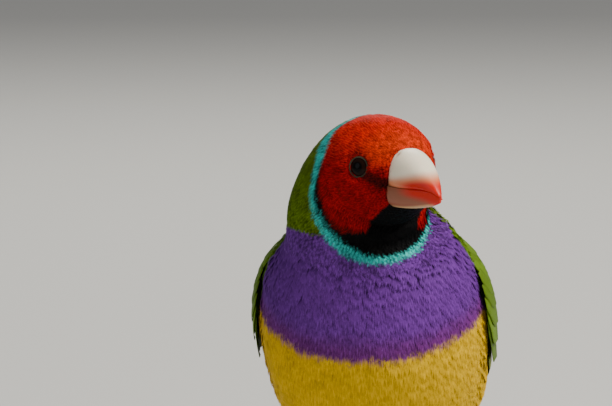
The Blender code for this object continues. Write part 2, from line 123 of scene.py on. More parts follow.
def barePoint(t, angle):
    # A point of the plumage's outer form; the angle runs from the bird's left side up to its back.
    t, angle = np.broadcast_arrays(np.asarray(t, float), np.asarray(angle, float))
    rows = sectionsAt(t)
    across, dorsal, _ = sectionAxes(rows)
    turn = np.radians(angle)
    depth = np.where(np.sin(turn) > 0, rows[..., 6], rows[..., 7])
    side = (rows[..., 5] * np.cos(turn))[..., None]
    high = (depth * np.sin(turn))[..., None]
    return rows[..., :3] + across * side + dorsal * high


def formNormal(t, angle):
    t, angle = np.broadcast_arrays(np.asarray(t, float), np.asarray(angle, float))
    along = barePoint(t + 0.02, angle) - barePoint(t - 0.02, angle)
    around = barePoint(t, angle + 1) - barePoint(t, angle - 1)
    n = np.cross(around, along)
    return n / np.linalg.norm(n, axis=-1, keepdims=True)


def formPoint(t, angle, lift):
    return barePoint(t, angle) + formNormal(t, angle) * np.asarray(lift, float)[..., None]


def ramp(x, low, high):
    u = np.clip((np.asarray(x, float) - low) / (high - low), 0, 1)
    return u * u * (3 - 2 * u)


def tableAt(t, pairs, period=None):
    # The value at each place of a table of places and values.
    return np.interp(t, *np.transpose(pairs), period=period)


def blendRgb(a, b, share):
    share = np.asarray(share, float)[..., None]
    return np.asarray(a, float) * (1 - share) + np.asarray(b, float) * share


# Mesh helpers

attributeKinds = {
    "number": ("FLOAT", "value"),
    "vector": ("FLOAT_VECTOR", "vector"),
    "colour": ("FLOAT_COLOR", "color"),
}


def linkObject(name, data):
    made = bpy.data.objects.new(name, data)
    bpy.context.scene.collection.objects.link(made)
    return made


def store(mesh, kind, domain="POINT", **columns):
    # Keeps named values on a mesh, one for each of its points or corners.
    dataType, field = attributeKinds[kind]
    for key, values in columns.items():
        values = np.asarray(values, np.float32)
        if kind == "colour":
            values = np.column_stack([values.reshape(-1, 3), np.ones(values.size // 3, np.float32)])
        mesh.attributes.new(key, dataType, domain).data.foreach_set(field, values.ravel())


def newMesh(name, points, faces, material, numbers=None, colours=None):
    # Points come in the bird's millimetres and end in the frame's metres.
    points = (np.asarray(points, float) - [0, birdForm["middleY"], 0]) * mm
    mesh = bpy.data.meshes.new(name)
    mesh.from_pydata(points.tolist(), [], faces)
    mesh.shade_smooth()
    store(mesh, "number", **(numbers or {}))
    store(mesh, "colour", **(colours or {}))
    mesh.materials.append(material)
    return linkObject(name, mesh)


def fullTurn(count):
    return np.linspace(0, 2 * math.pi, count, endpoint=False)


def gridFaces(rows, columns, start=0, wrap=False):
    faces = []
    for i in range(rows - 1):
        for j in range(columns if wrap else columns - 1):
            k = (j + 1) % columns
            a, b = start + i * columns + j, start + i * columns + k
            faces.append((a, b, b + columns, a + columns))
    return faces


def tubeFaces(rows, around, start=0):
    # A closed tube: its wall, then a cap at either end.
    last = start + (rows - 1) * around
    caps = [tuple(range(start, start + around))[::-1], tuple(range(last, last + around))]
    return gridFaces(rows, around, start, wrap=True) + caps


def nodeName(name):
    return name.replace("Left", "_left").replace("Right", "_right")


def finishPiece(made, slotName, *nodes):
    # Faces outward, rides on the one body, and takes the place of its solids.
    shell = bmesh.new()
    shell.from_mesh(made.data)
    bmesh.ops.recalc_face_normals(shell, faces=shell.faces)
    shell.to_mesh(made.data)
    shell.free()
    return declarePiece(made, slotName, *nodes)


def declarePiece(made, slotName, *nodes):
    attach(made, "root")
    if nodes:
        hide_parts(*nodes)
    return made


# Colours of the plumage, as linear red, green and blue

plumage = {
    # The cheek's darker red is partly painted shade, and the forehead's orange is partly a painted highlight.
    "crown": (0.54, 0.004, 0.0),
    "foreheadWithHighlight": (0.62, 0.030, 0.0),
    "cheekWithPaintedShade": (0.32, 0.002, 0.002),
    "lore": (0.040, 0.002, 0.002),
    "black": (0.0025, 0.0025, 0.003),
    "collar": (0.014, 0.48, 0.44),
    "nape": (0.085, 0.150, 0.004),
    "back": (0.10, 0.19, 0.006),
    "purple": (0.128, 0.030, 0.255),
    "purpleLow": (0.14, 0.022, 0.17),
    "yellow": (0.66, 0.405, 0.0),
    "vent": (0.85, 0.80, 0.68),
    "rump": (0.06, 0.33, 0.42),
    # Painted highlights: lighter copies of the colours above, put on the tips of some barbs.
    "crownTipHighlight": (0.82, 0.085, 0.0),
    "cheekTipHighlight": (0.72, 0.012, 0.004),
    "blackTipHighlight": (0.010, 0.010, 0.010),
    "collarTipHighlight": (0.24, 0.92, 0.92),
    "greenTipHighlight": (0.26, 0.34, 0.01),
    "purpleTipHighlight": (0.27, 0.10, 0.52),
    "yellowTipHighlight": (0.70, 0.44, 0.0),
    "ventTipHighlight": (0.95, 0.92, 0.85),
    "rumpTipHighlight": (0.14, 0.60, 0.70),
}

# Borders between colours. The first three hold pairs of an angle round the bird and a place along it.
# The others are lists of places along it, and of angles from the middle of its back at those places.
borders = {
    "collar": (
        (-79, 8.40), (-64, 8.41), (-45, 8.49), (-38, 8.60), (-27, 8.72), (-15, 8.81), (-8, 8.95),
        (-3, 9.20), (1, 9.90), (8, 10.30), (17, 10.48), (40, 10.50), (50, 10.58), (63, 10.82),
        (90, 10.84), (117, 10.82), (130, 10.58), (140, 10.50), (158, 10.48), (166, 10.40),
        (176, 10.15), (185, 9.84), (198, 9.60), (219, 9.26), (237, 8.91), (248, 8.70), (257, 8.57),
        (266, 8.49), (275, 8.42),
    ),
    "black": (
        (-81, 8.64), (-73, 8.62), (-55, 8.66), (-37, 8.79), (-27, 8.86), (-17, 8.95), (-12, 9.25),
        (-8, 9.80), (0, 10.45), (7, 10.70), (23, 10.95), (50, 10.90), (70, 11.05), (110, 11.05),
        (130, 10.90), (157, 10.95), (166, 10.81), (173, 10.66), (180, 10.36), (188, 9.99),
        (202, 9.69), (221, 9.43), (241, 9.15), (253, 8.94), (262, 8.82), (271, 8.70),
    ),
    "red": (
        (-90, 11.2), (-72, 11.2), (-62, 10.3), (-47, 9.42), (-40, 9.10), (-32, 8.95), (-20, 8.97),
        (-13, 9.28), (-8, 9.86), (0, 10.52), (7, 10.76), (23, 10.99), (50, 10.94), (70, 11.09),
        (110, 11.09), (130, 10.94), (157, 10.98), (167, 10.86), (175, 10.68), (183, 10.49),
        (189, 10.27), (197, 10.10), (206, 9.91), (214, 9.77), (223, 9.60), (230, 9.54),
        (237, 9.55), (243, 9.71), (248, 10.0), (254, 10.5), (262, 11.2),
    ),
    "throatPlace": (9.4, 9.8, 10.1, 10.6, 11.2, 12.07, 12.63, 13.0),
    "throatRight": (163, 163, 163, 162, 158, 150, 144, 139),
    "throatLeft": (140, 141, 136, 136, 137, 138, 139, 139),
    "breastPlace": (5.5, 6.5, 7.4, 8.3, 8.62, 8.88, 9.04, 9.3),
    "breastRight": (98, 94, 88, 88, 102, 117, 131, 150),
    "breastLeft": (96, 90, 82, 78, 82, 90, 104, 130),
    "bellyAngle": (90, 104, 128, 151, 172, 180),
    "bellyPlace": (6.15, 6.30, 6.52, 6.58, 6.64, 6.63),
}

# Where the other colours begin and end: places along the bird, angles from the middle of its back,
# and on the head millimetres of height, of reach ahead and from two lines.
markingRules = {
    "nape": (7.6, 8.4),
    "front": (88, 96),
    "rump": (3.1, 3.7),
    "ventAngle": (90, 130, 180),
    "ventPlace": (3.0, 3.6, 4.3),
    "ventSoft": 0.5,
    "deepPurple": (0.1, 0.5),
    "notch": (0.04, 3.0),
    "bellySoft": 0.03,
    "sideSoft": 1.5,
    "ringSoft": 0.02,
    "redSoft": 0.03,
    "crownHeight": (-1.0, 4.5),
    "foreheadReach": (3.0, 8.5),
    "lore": ((6.9, -6.9, -0.9), (4.9, -9.2, -2.3), (0.5, 1.5)),
    "gape": ((4.9, -8.4, -2.5), (4.3, -9.6, -2.4), (0.25, 0.6)),
}


def nearLine(spot, start, end):
    # Distance of places on either side of the head from a line between two points of its left side.
    start, end = np.array(start), np.array(end)
    folded = spot * 1.0
    folded[..., 0] = np.abs(folded[..., 0])
    share = ((folded - start) @ (end - start)) / ((end - start) @ (end - start))
    return np.linalg.norm(folded - start - np.clip(share, 0, 1)[..., None] * (end - start), axis=-1)


def markings(t, angle):
    # The colour of each place, and the colour of the painted highlights on the barb tips there.
    t, angle = np.broadcast_arrays(np.asarray(t, float), np.asarray(angle, float))
    a = np.abs((angle - 90 + 180) % 360 - 180)
    spot = headLocal(barePoint(t, angle))
    base = np.zeros(t.shape + (3,)) + plumage["back"]
    tip = np.zeros(t.shape + (3,)) + plumage["greenTipHighlight"]
    rules = markingRules

    # Blends in a colour where the mask is, along with the painted highlight colour for its barb tips.
    def paint(mask, colour, highlightColour):
        nonlocal base, tip
        base = blendRgb(base, plumage[colour], mask)
        tip = blendRgb(tip, plumage[highlightColour], mask)

    def past(value, edge, soft):
        return ramp(value, edge - soft, edge + soft)

    def pastSide(zone):
        # Past an edge that runs down either side of the bird.
        sides = (np.interp(t, borders[zone + "Place"], borders[zone + side]) for side in ("Left", "Right"))
        return past(a, np.where(np.cos(np.radians(angle)) > 0, *sides), rules["sideSoft"])

    def pastRing(key, soft):
        return past(t, tableAt(angle, borders[key], 360), soft)

    def besideLine(key):
        start, end, soft = rules[key]
        return 1 - ramp(nearLine(spot, start, end), *soft)

    paint(ramp(t, *rules["nape"]), "nape", "greenTipHighlight")
    paint(pastSide("breast"), "purple", "purpleTipHighlight")
    high, wide = rules["notch"]
    bellyEdge = np.interp(a, borders["bellyAngle"], borders["bellyPlace"])
    bellyEdge = bellyEdge + high * np.exp(-((a - 180) / wide) ** 2)
    deepStart, deepEnd = rules["deepPurple"]
    front = ramp(a, *rules["front"])
    paint(front * (1 - ramp(t, bellyEdge + deepStart, bellyEdge + deepEnd)), "purpleLow", "purpleTipHighlight")
    paint(front * (1 - past(t, bellyEdge, rules["bellySoft"])), "yellow", "yellowTipHighlight")
    low = np.interp(a, rules["ventAngle"], rules["ventPlace"])
    paint(front * (1 - past(t, low, rules["ventSoft"])), "vent", "ventTipHighlight")
    paint((1 - front) * (1 - ramp(t, *rules["rump"])), "rump", "rumpTipHighlight")
    paint(pastRing("collar", rules["ringSoft"]), "collar", "collarTipHighlight")
    paint(pastRing("black", rules["ringSoft"]), "black", "blackTipHighlight")
    red = pastRing("red", rules["redSoft"]) * (1 - pastSide("throat"))
    # Red runs from the darker cheek up to the crown and forward to an orange forehead: partly the bird's own
    # tones, partly painted shade low on the head's sides and painted light on its top and forehead.
    crown = ramp(spot[..., 2], *rules["crownHeight"])
    paint(red, "cheekWithPaintedShade", "cheekTipHighlight")
    paint(red * crown, "crown", "crownTipHighlight")
    paint(red * crown * ramp(-spot[..., 1], *rules["foreheadReach"]), "foreheadWithHighlight", "crownTipHighlight")
    paint(red * 0.92 * besideLine("lore"), "lore", "cheekWithPaintedShade")
    paint(besideLine("gape"), "black", "blackTipHighlight")
    return base, tip


# Shader groups and materials


def feed(tree, socket, value):
    if isinstance(value, bpy.types.NodeSocket):
        tree.links.new(value, socket)
    else:
        socket.default_value = value


def addNode(tree, kind, inputs=None, **settings):
    node = tree.nodes.new(kind)
    for key, value in settings.items():
        setattr(node, key, value)
    for key, value in (inputs or {}).items():
        feed(tree, node.inputs[key], value)
    return node


def newGroup(name, inputs, outputs):
    # An input's starting value says whether it is a number or a colour.
    group = bpy.data.node_groups.new(name, "ShaderNodeTree")
    for label, value in inputs.items():
        kind = "NodeSocketColor" if isinstance(value, tuple) else "NodeSocketFloat"
        group.interface.new_socket(label, in_out="INPUT", socket_type=kind).default_value = value
    for label, kind in outputs.items():
        group.interface.new_socket(label, in_out="OUTPUT", socket_type="NodeSocket" + kind)
    return group, group.nodes.new("NodeGroupInput").outputs, group.nodes.new("NodeGroupOutput").inputs


def mathNode(tree, operation, *values, clamp=False):
    node = addNode(tree, "ShaderNodeMath", operation=operation, use_clamp=clamp)
    for socket, value in zip(node.inputs, values):
        feed(tree, socket, value)
    return node.outputs[0]


def mixColour(tree, factor, a, b, blend="MIX"):
    node = addNode(tree, "ShaderNodeMix", data_type="RGBA", blend_type=blend)
    for place, value in ((0, factor), (6, a), (7, b)):
        feed(tree, node.inputs[place], (*value, 1) if isinstance(value, tuple) else value)
    return node.outputs[2]


def attributeNode(tree, name, output="Fac"):
    return addNode(tree, "ShaderNodeAttribute", attribute_name=name).outputs[output]


def noiseNode(tree, scale, detail=3.0):
    place = addNode(tree, "ShaderNodeTexCoord").outputs["Object"]
    inputs = {"Scale": scale, "Detail": detail, "Vector": place}
    return addNode(tree, "ShaderNodeTexNoise", inputs).outputs["Fac"]


def newMaterial(name):
    made = bpy.data.materials.new(name)
    made.use_nodes = True
    return made, made.node_tree, made.node_tree.nodes["Principled BSDF"]


def finishSurface(tree, shader, colour, surface, height=None, bump=None):
    # Joins a colour and a height to the surface and sets its constants.
    feed(tree, shader.inputs["Base Color"], colour)
    if height:
        strength, distance = bump
        inputs = {"Strength": strength, "Distance": distance, "Height": height}
        tree.links.new(addNode(tree, "ShaderNodeBump", inputs).outputs["Normal"], shader.inputs["Normal"])
    for key, value in surface.items():
        shader.inputs[key].default_value = value


def buildBarbTone():
    # Darkens barbs towards the root as painted shade under the overlapping tufts, paints highlights on the
    # tips of some, and varies them one from another.
    white = (1, 1, 1, 1)
    group, come, go = newGroup(
        "barbTone",
        {"Colour": white, "Tip Highlight Colour": white, "Along": 1.0, "Shade": 0.5, "Tuft Shade": 0.5,
         "Root Painted Shade": 0.5, "Variation": 0.4, "Tip Highlight Share": 0.3},
        {"Colour": "Color"},
    )
    rootShade = mathNode(group, "SUBTRACT", 1.0, come["Along"], clamp=True)
    light = mathNode(group, "SUBTRACT", 1.0, mathNode(group, "MULTIPLY", rootShade, come["Root Painted Shade"]))
    both = mathNode(group, "ADD", come["Shade"], come["Tuft Shade"])
    vary = mathNode(group, "MULTIPLY_ADD", mathNode(group, "SUBTRACT", both, 1.0), come["Variation"], 1.0)
    toned = mixColour(group, 1.0, come["Colour"], mathNode(group, "MULTIPLY", light, vary), "MULTIPLY")
    # Painted highlights: barbs with a high shade value take the tip colour towards their tips.
    highlightShare = mathNode(group, "MULTIPLY", mathNode(group, "POWER", come["Shade"], 3.0), come["Along"])
    highlightShare = mathNode(group, "MULTIPLY", highlightShare, come["Tip Highlight Share"], clamp=True)
    group.links.new(mixColour(group, highlightShare, toned, come["Tip Highlight Colour"]), go["Colour"])
    return group


barbTone = buildBarbTone()
# For each coat: painted shade at the barb roots, random variation, the share of painted tip highlights, and
# roughness.
barbLooks = {
    "headBarbs": {"Root Painted Shade": 0.40, "Variation": 0.75, "Tip Highlight Share": 0.60, "roughness": 0.55},
    "bodyBarbs": {"Root Painted Shade": 0.20, "Variation": 0.24, "Tip Highlight Share": 0.22, "roughness": 0.60},
    "specular": 0.05,
}
# The down under the coat is the plumage colour darkened to 0.7, partly its own duller tone and partly painted
# shade in the gaps between tufts.
downLook = {
    "shade": (0.70, 0.70, 0.70),
    "mottleScale": 900.0,
    "bump": (0.6, 0.0003),
    "surface": {"Roughness": 0.85, "Specular IOR Level": 0.2},
}


def barbMaterial(name):
    made, tree, shader = newMaterial(name)
    inputs = dict(barbLooks[name])
    surface = {"Roughness": inputs.pop("roughness"), "Specular IOR Level": barbLooks["specular"]}
    for label, key in (("Along", "barbAlong"), ("Shade", "barbShade"), ("Tuft Shade", "tuftShade")):
        inputs[label] = attributeNode(tree, key)
    for label, key in (("Colour", "plumage"), ("Tip Highlight Colour", "plumageTip")):
        inputs[label] = attributeNode(tree, key, "Color")
    tone = addNode(tree, "ShaderNodeGroup", inputs, node_tree=barbTone)
    finishSurface(tree, shader, tone.outputs["Colour"], surface)
    return made


def skinMaterial():
    made, tree, shader = newMaterial("downInPaintedShade")
    colour = attributeNode(tree, "plumage", "Color")
    # Darkened copy of the plumage colour, as painted shade seen through the gaps of the coat, mottled with
    # noise below.
    dark = mixColour(tree, 1.0, colour, downLook["shade"], "MULTIPLY")
    mottle = noiseNode(tree, downLook["mottleScale"])
    mixed = mixColour(tree, mottle, dark, colour)
    finishSurface(tree, shader, mixed, downLook["surface"], mottle, downLook["bump"])
    return made


downInPaintedShade = skinMaterial()
headBarbs, bodyBarbs = barbMaterial("headBarbs"), barbMaterial("bodyBarbs")
print("materials of the plumage are ready")

# Skin: one surface under the whole coat, with the thighs

skin = {
    "start": 1.9,
    "end": 13.0,
    "rings": 180,
    "around": 168,
    "headDepth": 0.45,
    "bodyDepth": 0.75,
    "rearDepth": 0.8,
    "headBegins": (8.2, 9.8),
    "billBegins": (12.2, 13.0),
    "billThinning": 0.35,
    "rearEnds": (2.2, 3.4),
    "front": ((0.92, 0.985, 0.10), (0.85, 0.97, 0.15), (0.78, 0.95, 0.15)),
    "billMiddle": -1.35,
    "step": 0.03,
}

# Tuft sizes along the form: pairs of a place and millimetres, or for the rise a share of the skin's depth
tuftTables = {
    "length": (
        (1.9, 4.6), (3.0, 4.8), (4.5, 4.8), (6.5, 4.2), (7.8, 3.2), (8.4, 2.3), (8.8, 1.6), (9.6, 1.9),
        (10.6, 2.0), (12.0, 1.45), (13.0, 0.8),
    ),
    "width": (
        (1.9, 2.4), (4.0, 2.5), (7.0, 2.3), (8.4, 1.6), (9.2, 1.25), (10.6, 1.1), (12.0, 0.95), (13.0, 0.7),
    ),
    "rise": ((7.2, 1.0), (7.8, 0.72), (8.6, 0.72), (9.2, 1.0)),
    "wingRise": 0.40,
    "eyeLength": 0.55,
    "eyeWidth": 0.40,
}

# The places along the form where one coat gives way to the next
zoneEnds = {"neck": 9.3, "breast": 8.3, "belly": 5.8}
foldedWing = {
    "start": 7.05,
    "run": 3.15,
    "low": (26, 40, 0.45, 12),
    "high": (34, 30, 0.6),
    "reach": (3.2, 6.75),
}


def coatDepth(t):
    # How far the skin lies under the outer form.
    depth = skin["bodyDepth"] + (skin["headDepth"] - skin["bodyDepth"]) * ramp(t, *skin["headBegins"])
    depth = depth * (1 - skin["billThinning"] * ramp(t, *skin["billBegins"]))
    return depth + (skin["rearDepth"] - skin["bodyDepth"]) * (1 - ramp(t, *skin["rearEnds"]))


def leftAngle(angle):
    # The matching angle on the bird's left, from -180 to 180.
    side = np.where(np.cos(np.radians(angle)) < 0, 180 - angle, angle)
    return (side + 180) % 360 - 180


def wingShare(t):
    return (foldedWing["start"] - t) / foldedWing["run"]


def wingLow(share):
    # The angle of the folded wing's lower edge, and below, of its upper edge.
    first, drop, power, back = foldedWing["low"]
    return first - drop * np.clip(share, 0, 1) ** power + back * np.clip(share, 0, 1.4) ** 2


def wingHigh(share):
    first, climb, power = foldedWing["high"]
    return first + climb * np.clip(share, 0, 1) ** power


def underWing(t, angle):
    # 1 where the folded wing lies over the body, well inside its edges.
    side, share = leftAngle(angle), wingShare(t)
    rear, front = foldedWing["reach"]
    inside = (side > wingLow(share) + 5) & (side < wingHigh(share) - 6) & (t < front) & (t > rear)
    return inside.astype(float)


def tuftSizes(t, angle):
    # Length, width and rise of the tufts, in millimetres.
    length, width, share = (tableAt(t, tuftTables[key]) for key in ("length", "width", "rise"))
    side = leftAngle(angle)
    nearWing = ramp(t, 6.7, 7.2) * (1 - ramp(t, 7.7, 8.1)) * ramp(side, -12, 6) * (1 - ramp(side, 58, 74))
    low = wingLow(np.clip(wingShare(t), 0, 1))
    flank = np.exp(-((side - (low - 7)) / 7.0) ** 2) * ramp(t, 3.4, 4.2) * (1 - ramp(t, 6.6, 7.1))
    lift = tuftTables["wingRise"]
    return length, width, coatDepth(t) * share + lift * nearWing + lift * flank


def gather(parts, **blocks):
    # Adds a form's values, one row for each of its points.
    count = blocks["rise"].size
    for key, values in blocks.items():
        parts.setdefault(key, []).append(values.reshape(count, -1))


def makeSkin():
    front = len(skin["front"])
    t = np.append(np.linspace(skin["start"], skin["end"], skin["rings"]), [skin["end"]] * front)
    around = np.arange(skin["around"]) * 360 / skin["around"]
    place, angle = np.meshgrid(t, around, indexing="ij")
    points = barePoint(place, angle) - formNormal(place, angle) * coatDepth(place)[..., None]
    lie = barePoint(place - skin["step"], angle) - barePoint(place + skin["step"], angle)
    perStep = np.linalg.norm(lie, axis=-1, keepdims=True)
    lie /= perStep
    length, width, rise = tuftSizes(place, angle)
    base, tip = markings(place, angle)
    closeFront(points, lie)
    bare = np.zeros(place.shape)
    bare[-1] = 1
    for side in (1, -1):
        points, lie, near = bedEye(points, lie, side)
        length = length * (1 - tuftTables["eyeLength"] * near)
        width = width * (1 - tuftTables["eyeWidth"] * near)
        bare = np.maximum(bare, near > 0.999)
    # What one unit of a tuft's own length and width is worth along and round the form
    perDegree = np.linalg.norm(barePoint(place, angle + 1) - barePoint(place, angle - 1), axis=-1) / 2
    perPlace = perStep[..., 0] / 0.06
    turn = np.radians(angle)
    up = 0.14 + 0.86 * np.arange(len(t))[:, None] / len(t) + 0 * angle
    parts = {}
    gather(
        parts, points=points, base=base, tip=tip, lie=lie, length=length, width=width, rise=rise, angle=angle,
        bare=bare, worth=np.stack([width / perDegree, length / perPlace, 0 * place], -1),
        place=np.stack([place, np.cos(turn), np.sin(turn)], -1), uv=np.stack([angle / 360, up], -1),
    )
    faces = tubeFaces(len(t), skin["around"])
    for side in (1, -1):
        addThigh(parts, faces, side)
    parts = {key: np.concatenate(blocks).squeeze() for key, blocks in parts.items()}
    made = newMesh("skin", parts["points"], faces, downInPaintedShade)
    mesh = made.data
    store(mesh, "colour", plumage=parts["base"], plumageTip=parts["tip"])
    store(mesh, "vector", lie=parts["lie"], tuftWorth=parts["worth"], formPlace=parts["place"])
    for key in ("length", "width", "rise"):
        store(mesh, "number", **{"tuft" + key.capitalize(): parts[key] * mm})
    along = parts["place"][:, 0]
    thigh = along < 0
    clear = 1 - underWing(along, parts["angle"])
    neck, breast, belly = (ramp(along, end, end + 0.01) for end in zoneEnds.values())
    store(
        mesh, "number",
        zoneHead=neck * (1 - parts["bare"]),
        zoneNeck=breast * (1 - neck),
        zoneBreast=belly * (1 - breast) * clear,
        zoneBelly=(1 - belly) * clear * ~thigh,
        zoneThigh=1.0 * thigh,
    )
    writeSkinUv(mesh, parts["uv"])
    return made


def closeFront(points, lie):
    # Brings the last rows in to the bill's base, with the tufts there lying outward from it.
    middle = skin["billMiddle"]
    rim = headLocal(points[skin["rings"] - 1])
    outward = headPoint(rim) - headPoint(rim * [0, 1, 0] + [0, 0, middle])
    for row, (wide, high, ahead) in enumerate(skin["front"], skin["rings"]):
        drawn = np.stack([rim[:, 0] * wide, rim[:, 1] - ahead, (rim[:, 2] - middle) * high + middle], -1)
        points[row] = headPoint(drawn)
        lie[row] = outward / np.linalg.norm(outward, axis=-1, keepdims=True)


def bedEye(points, lie, side):
    # Lays the skin on the ball round its opening, and turns the tufts there away from the eye.
    look, centre = eyeAxes(side)[0], eyeCentre(side)
    away = points - centre
    forward = away @ look
    aside = away - forward[..., None] * look
    reach = np.linalg.norm(aside, axis=-1)
    distance = np.maximum(np.linalg.norm(away, axis=-1), 0.1)
    rim, ball = eyes["opening"] + eyes["rim"], eyes["radius"] + eyes["cover"]
    onBall = np.where(reach > rim, ball, np.minimum(distance, eyes["radius"] - eyes["sink"]))
    bedded = (1 - ramp(reach, rim + 0.35, rim + 1.1)) * (forward > 0)
    bedded = np.where((distance < ball) & (reach > rim) & (forward > 0), 1.0, bedded)
    points = points + (centre + away * (onBall / distance)[..., None] - points) * bedded[..., None]
    near = np.where(forward > 0, 1 - ramp(reach, eyes["opening"] + 0.30, eyes["opening"] + 1.5), 0.0)
    turned = lie * (1 - near[..., None]) + aside / np.maximum(reach, 0.1)[..., None] * near[..., None]
    return points, turned / np.linalg.norm(turned, axis=-1, keepdims=True), near


def cornerPoints(mesh):
    corners = np.empty(len(mesh.loops), np.int32)
    mesh.loops.foreach_get("vertex_index", corners)
    return corners


def writeSkinUv(mesh, uv):
    starts, totals = np.empty((2, len(mesh.polygons)), np.int32)
    mesh.polygons.foreach_get("loop_start", starts)
    mesh.polygons.foreach_get("loop_total", totals)
    perCorner = uv[cornerPoints(mesh)]
    quads = starts[totals == 4][:, None] + np.arange(4)
    u = perCorner[quads, 0]
    crossing = np.ptp(u, axis=1, keepdims=True) > 0.5
    perCorner[quads, 0] = np.where(crossing & (u < 0.25), u + 1.0, u)
    perCorner = np.clip(perCorner, 0.0, 1.0)
    mesh.uv_layers.new(name="OFBake").data.foreach_set("uv", perCorner.astype(np.float32).ravel())
    store(mesh, "vector", "CORNER", rootUv=np.column_stack([perCorner, 0 * perCorner[:, 0]]))


legs = {
    "hip": (8.2, 1.5, 32.5),
    "ankle": (9.2, 7.4, 16.4),
    "foot": (10.2, 1.6, 1.35),
    "thighRadii": ((0.0, 5.6), (0.2, 5.2), (0.4, 4.3), (0.6, 3.2), (0.8, 2.1), (0.93, 1.45), (1.0, 0.95)),
    "shankRadii": ((0, 1.05), (0.06, 1.15), (0.14, 1.0), (0.3, 0.86), (0.7, 0.80), (0.9, 0.95), (1.0, 1.05)),
    "shankTop": 0.9,
    "shankBow": 0.25,
    "thighSteps": 26,
    "thighAround": 32,
    "thighBow": 1.5,
    "whitening": (0.3, 0.8),
    "length": (4.2, 1.5),
    "width": (1.8, 0.7),
    "rise": (0.9, 0.35),
}


def mirrored(point, side):
    return np.array([side * point[0], point[1], point[2]])


def addThigh(parts, faces, side):
    top, bottom = mirrored(legs["hip"], side), mirrored(legs["ankle"], side) + [0, 0, 0.15]
    steps, around = legs["thighSteps"], legs["thighAround"]
    share = np.linspace(0, 1, steps)[:, None] + np.zeros(around)
    turn = fullTurn(around) + 0 * share
    bow = np.array([0, -legs["thighBow"], 0]) * np.sin(math.pi * share)[..., None]
    ring = np.stack([np.cos(turn), np.sin(turn), 0 * turn], -1)
    radius = tableAt(share, legs["thighRadii"])
    points = top + (bottom - top) * share[..., None] + bow + ring * radius[..., None]
    faces += tubeFaces(steps, around, sum(len(block) for block in parts["points"]))
    white = ramp(share, *legs["whitening"])
    tuftSize = {key: np.interp(share, (0, 1), legs[key]) for key in ("length", "width", "rise")}
    rows = share.shape + (3,)
    u = 0.02 + (0.0 if side > 0 else 0.5) + 0.44 * np.arange(around) / around + 0 * share
    gather(
        parts, **tuftSize, points=points, angle=0 * share, bare=0 * share,
        base=blendRgb(plumage["yellow"], plumage["vent"], white),
        tip=blendRgb(plumage["yellowTipHighlight"], plumage["ventTipHighlight"], white),
        lie=np.broadcast_to((bottom - top) / np.linalg.norm(bottom - top), rows),
        worth=np.zeros(rows), place=np.broadcast_to([-1.0, 1.0, 0.0], rows),
        uv=np.stack([u, 0.01 + 0.11 * share], -1),
    )


# Eyes and lids

eyes = {
    "radius": 2.3,
    "place": (5.61, -4.00, 0.08),
    "look": (0.85, -0.50, 0.13),
    "opening": 1.60,
    "rim": 0.15,
    "cover": 0.10,
    "sink": 0.25,
    "pupil": (0.0015, 0.001, 0.001),
    "iris": (0.011, 0.004, 0.0025),
    "pupilEdge": (0.36, 0.44),
    "surface": {"Roughness": 0.05, "Specular IOR Level": 0.08},
    "lids": ((1.68, 0.15, 0.0), (1.97, 0.11, -0.06)),
    "lidColours": ((0.020, 0.017, 0.011), (0.085, 0.074, 0.044)),
    "lidWrinkle": (2500.0, 4.0),
    "lidBump": (0.8, 0.0002),
    "lidSurface": {"Roughness": 0.7, "Specular IOR Level": 0.2},
}


def eyeCentre(side):
    x, y, z = eyes["place"]
    return headPoint((side * x, y, z))


def eyeAxes(side):
    x, y, z = eyes["look"]
    look = headTurn @ np.array([side * x, y, z])
    look /= np.linalg.norm(look)
    across = np.cross([0, 0, 1], look)
    across /= np.linalg.norm(across)
    return look, across, np.cross(look, across)


skinPiece = makeSkin()
print("skin made with", len(skinPiece.data.polygons), "faces")

# Tufts: a fan of barbs on one root, a unit long and wide, which the coat scales and lays down

tuftKinds = {
    "headTuft": {"barbs": 9, "segments": 2, "barbWidth": 0.118, "spread": 0.46, "roll": 0.16, "seed": 3},
    "neckTuft": {"barbs": 11, "segments": 3, "barbWidth": 0.088, "spread": 0.48, "roll": 0.10, "seed": 5},
    "bodyTuft": {"barbs": 15, "segments": 3, "barbWidth": 0.080, "spread": 0.50, "roll": 0.06, "seed": 7},
}

barbForm = {
    "sideShortening": 0.26,
    "reachSpread": (-0.10, 0.05),
    "endSpread": 0.03,
    "spreadAlong": (0.72, 0.28),
    "rise": 1.20,
    "droop": 0.26,
    "unevenness": 0.02,
    "tipDrop": 0.03,
    "rollShare": 0.35,
}


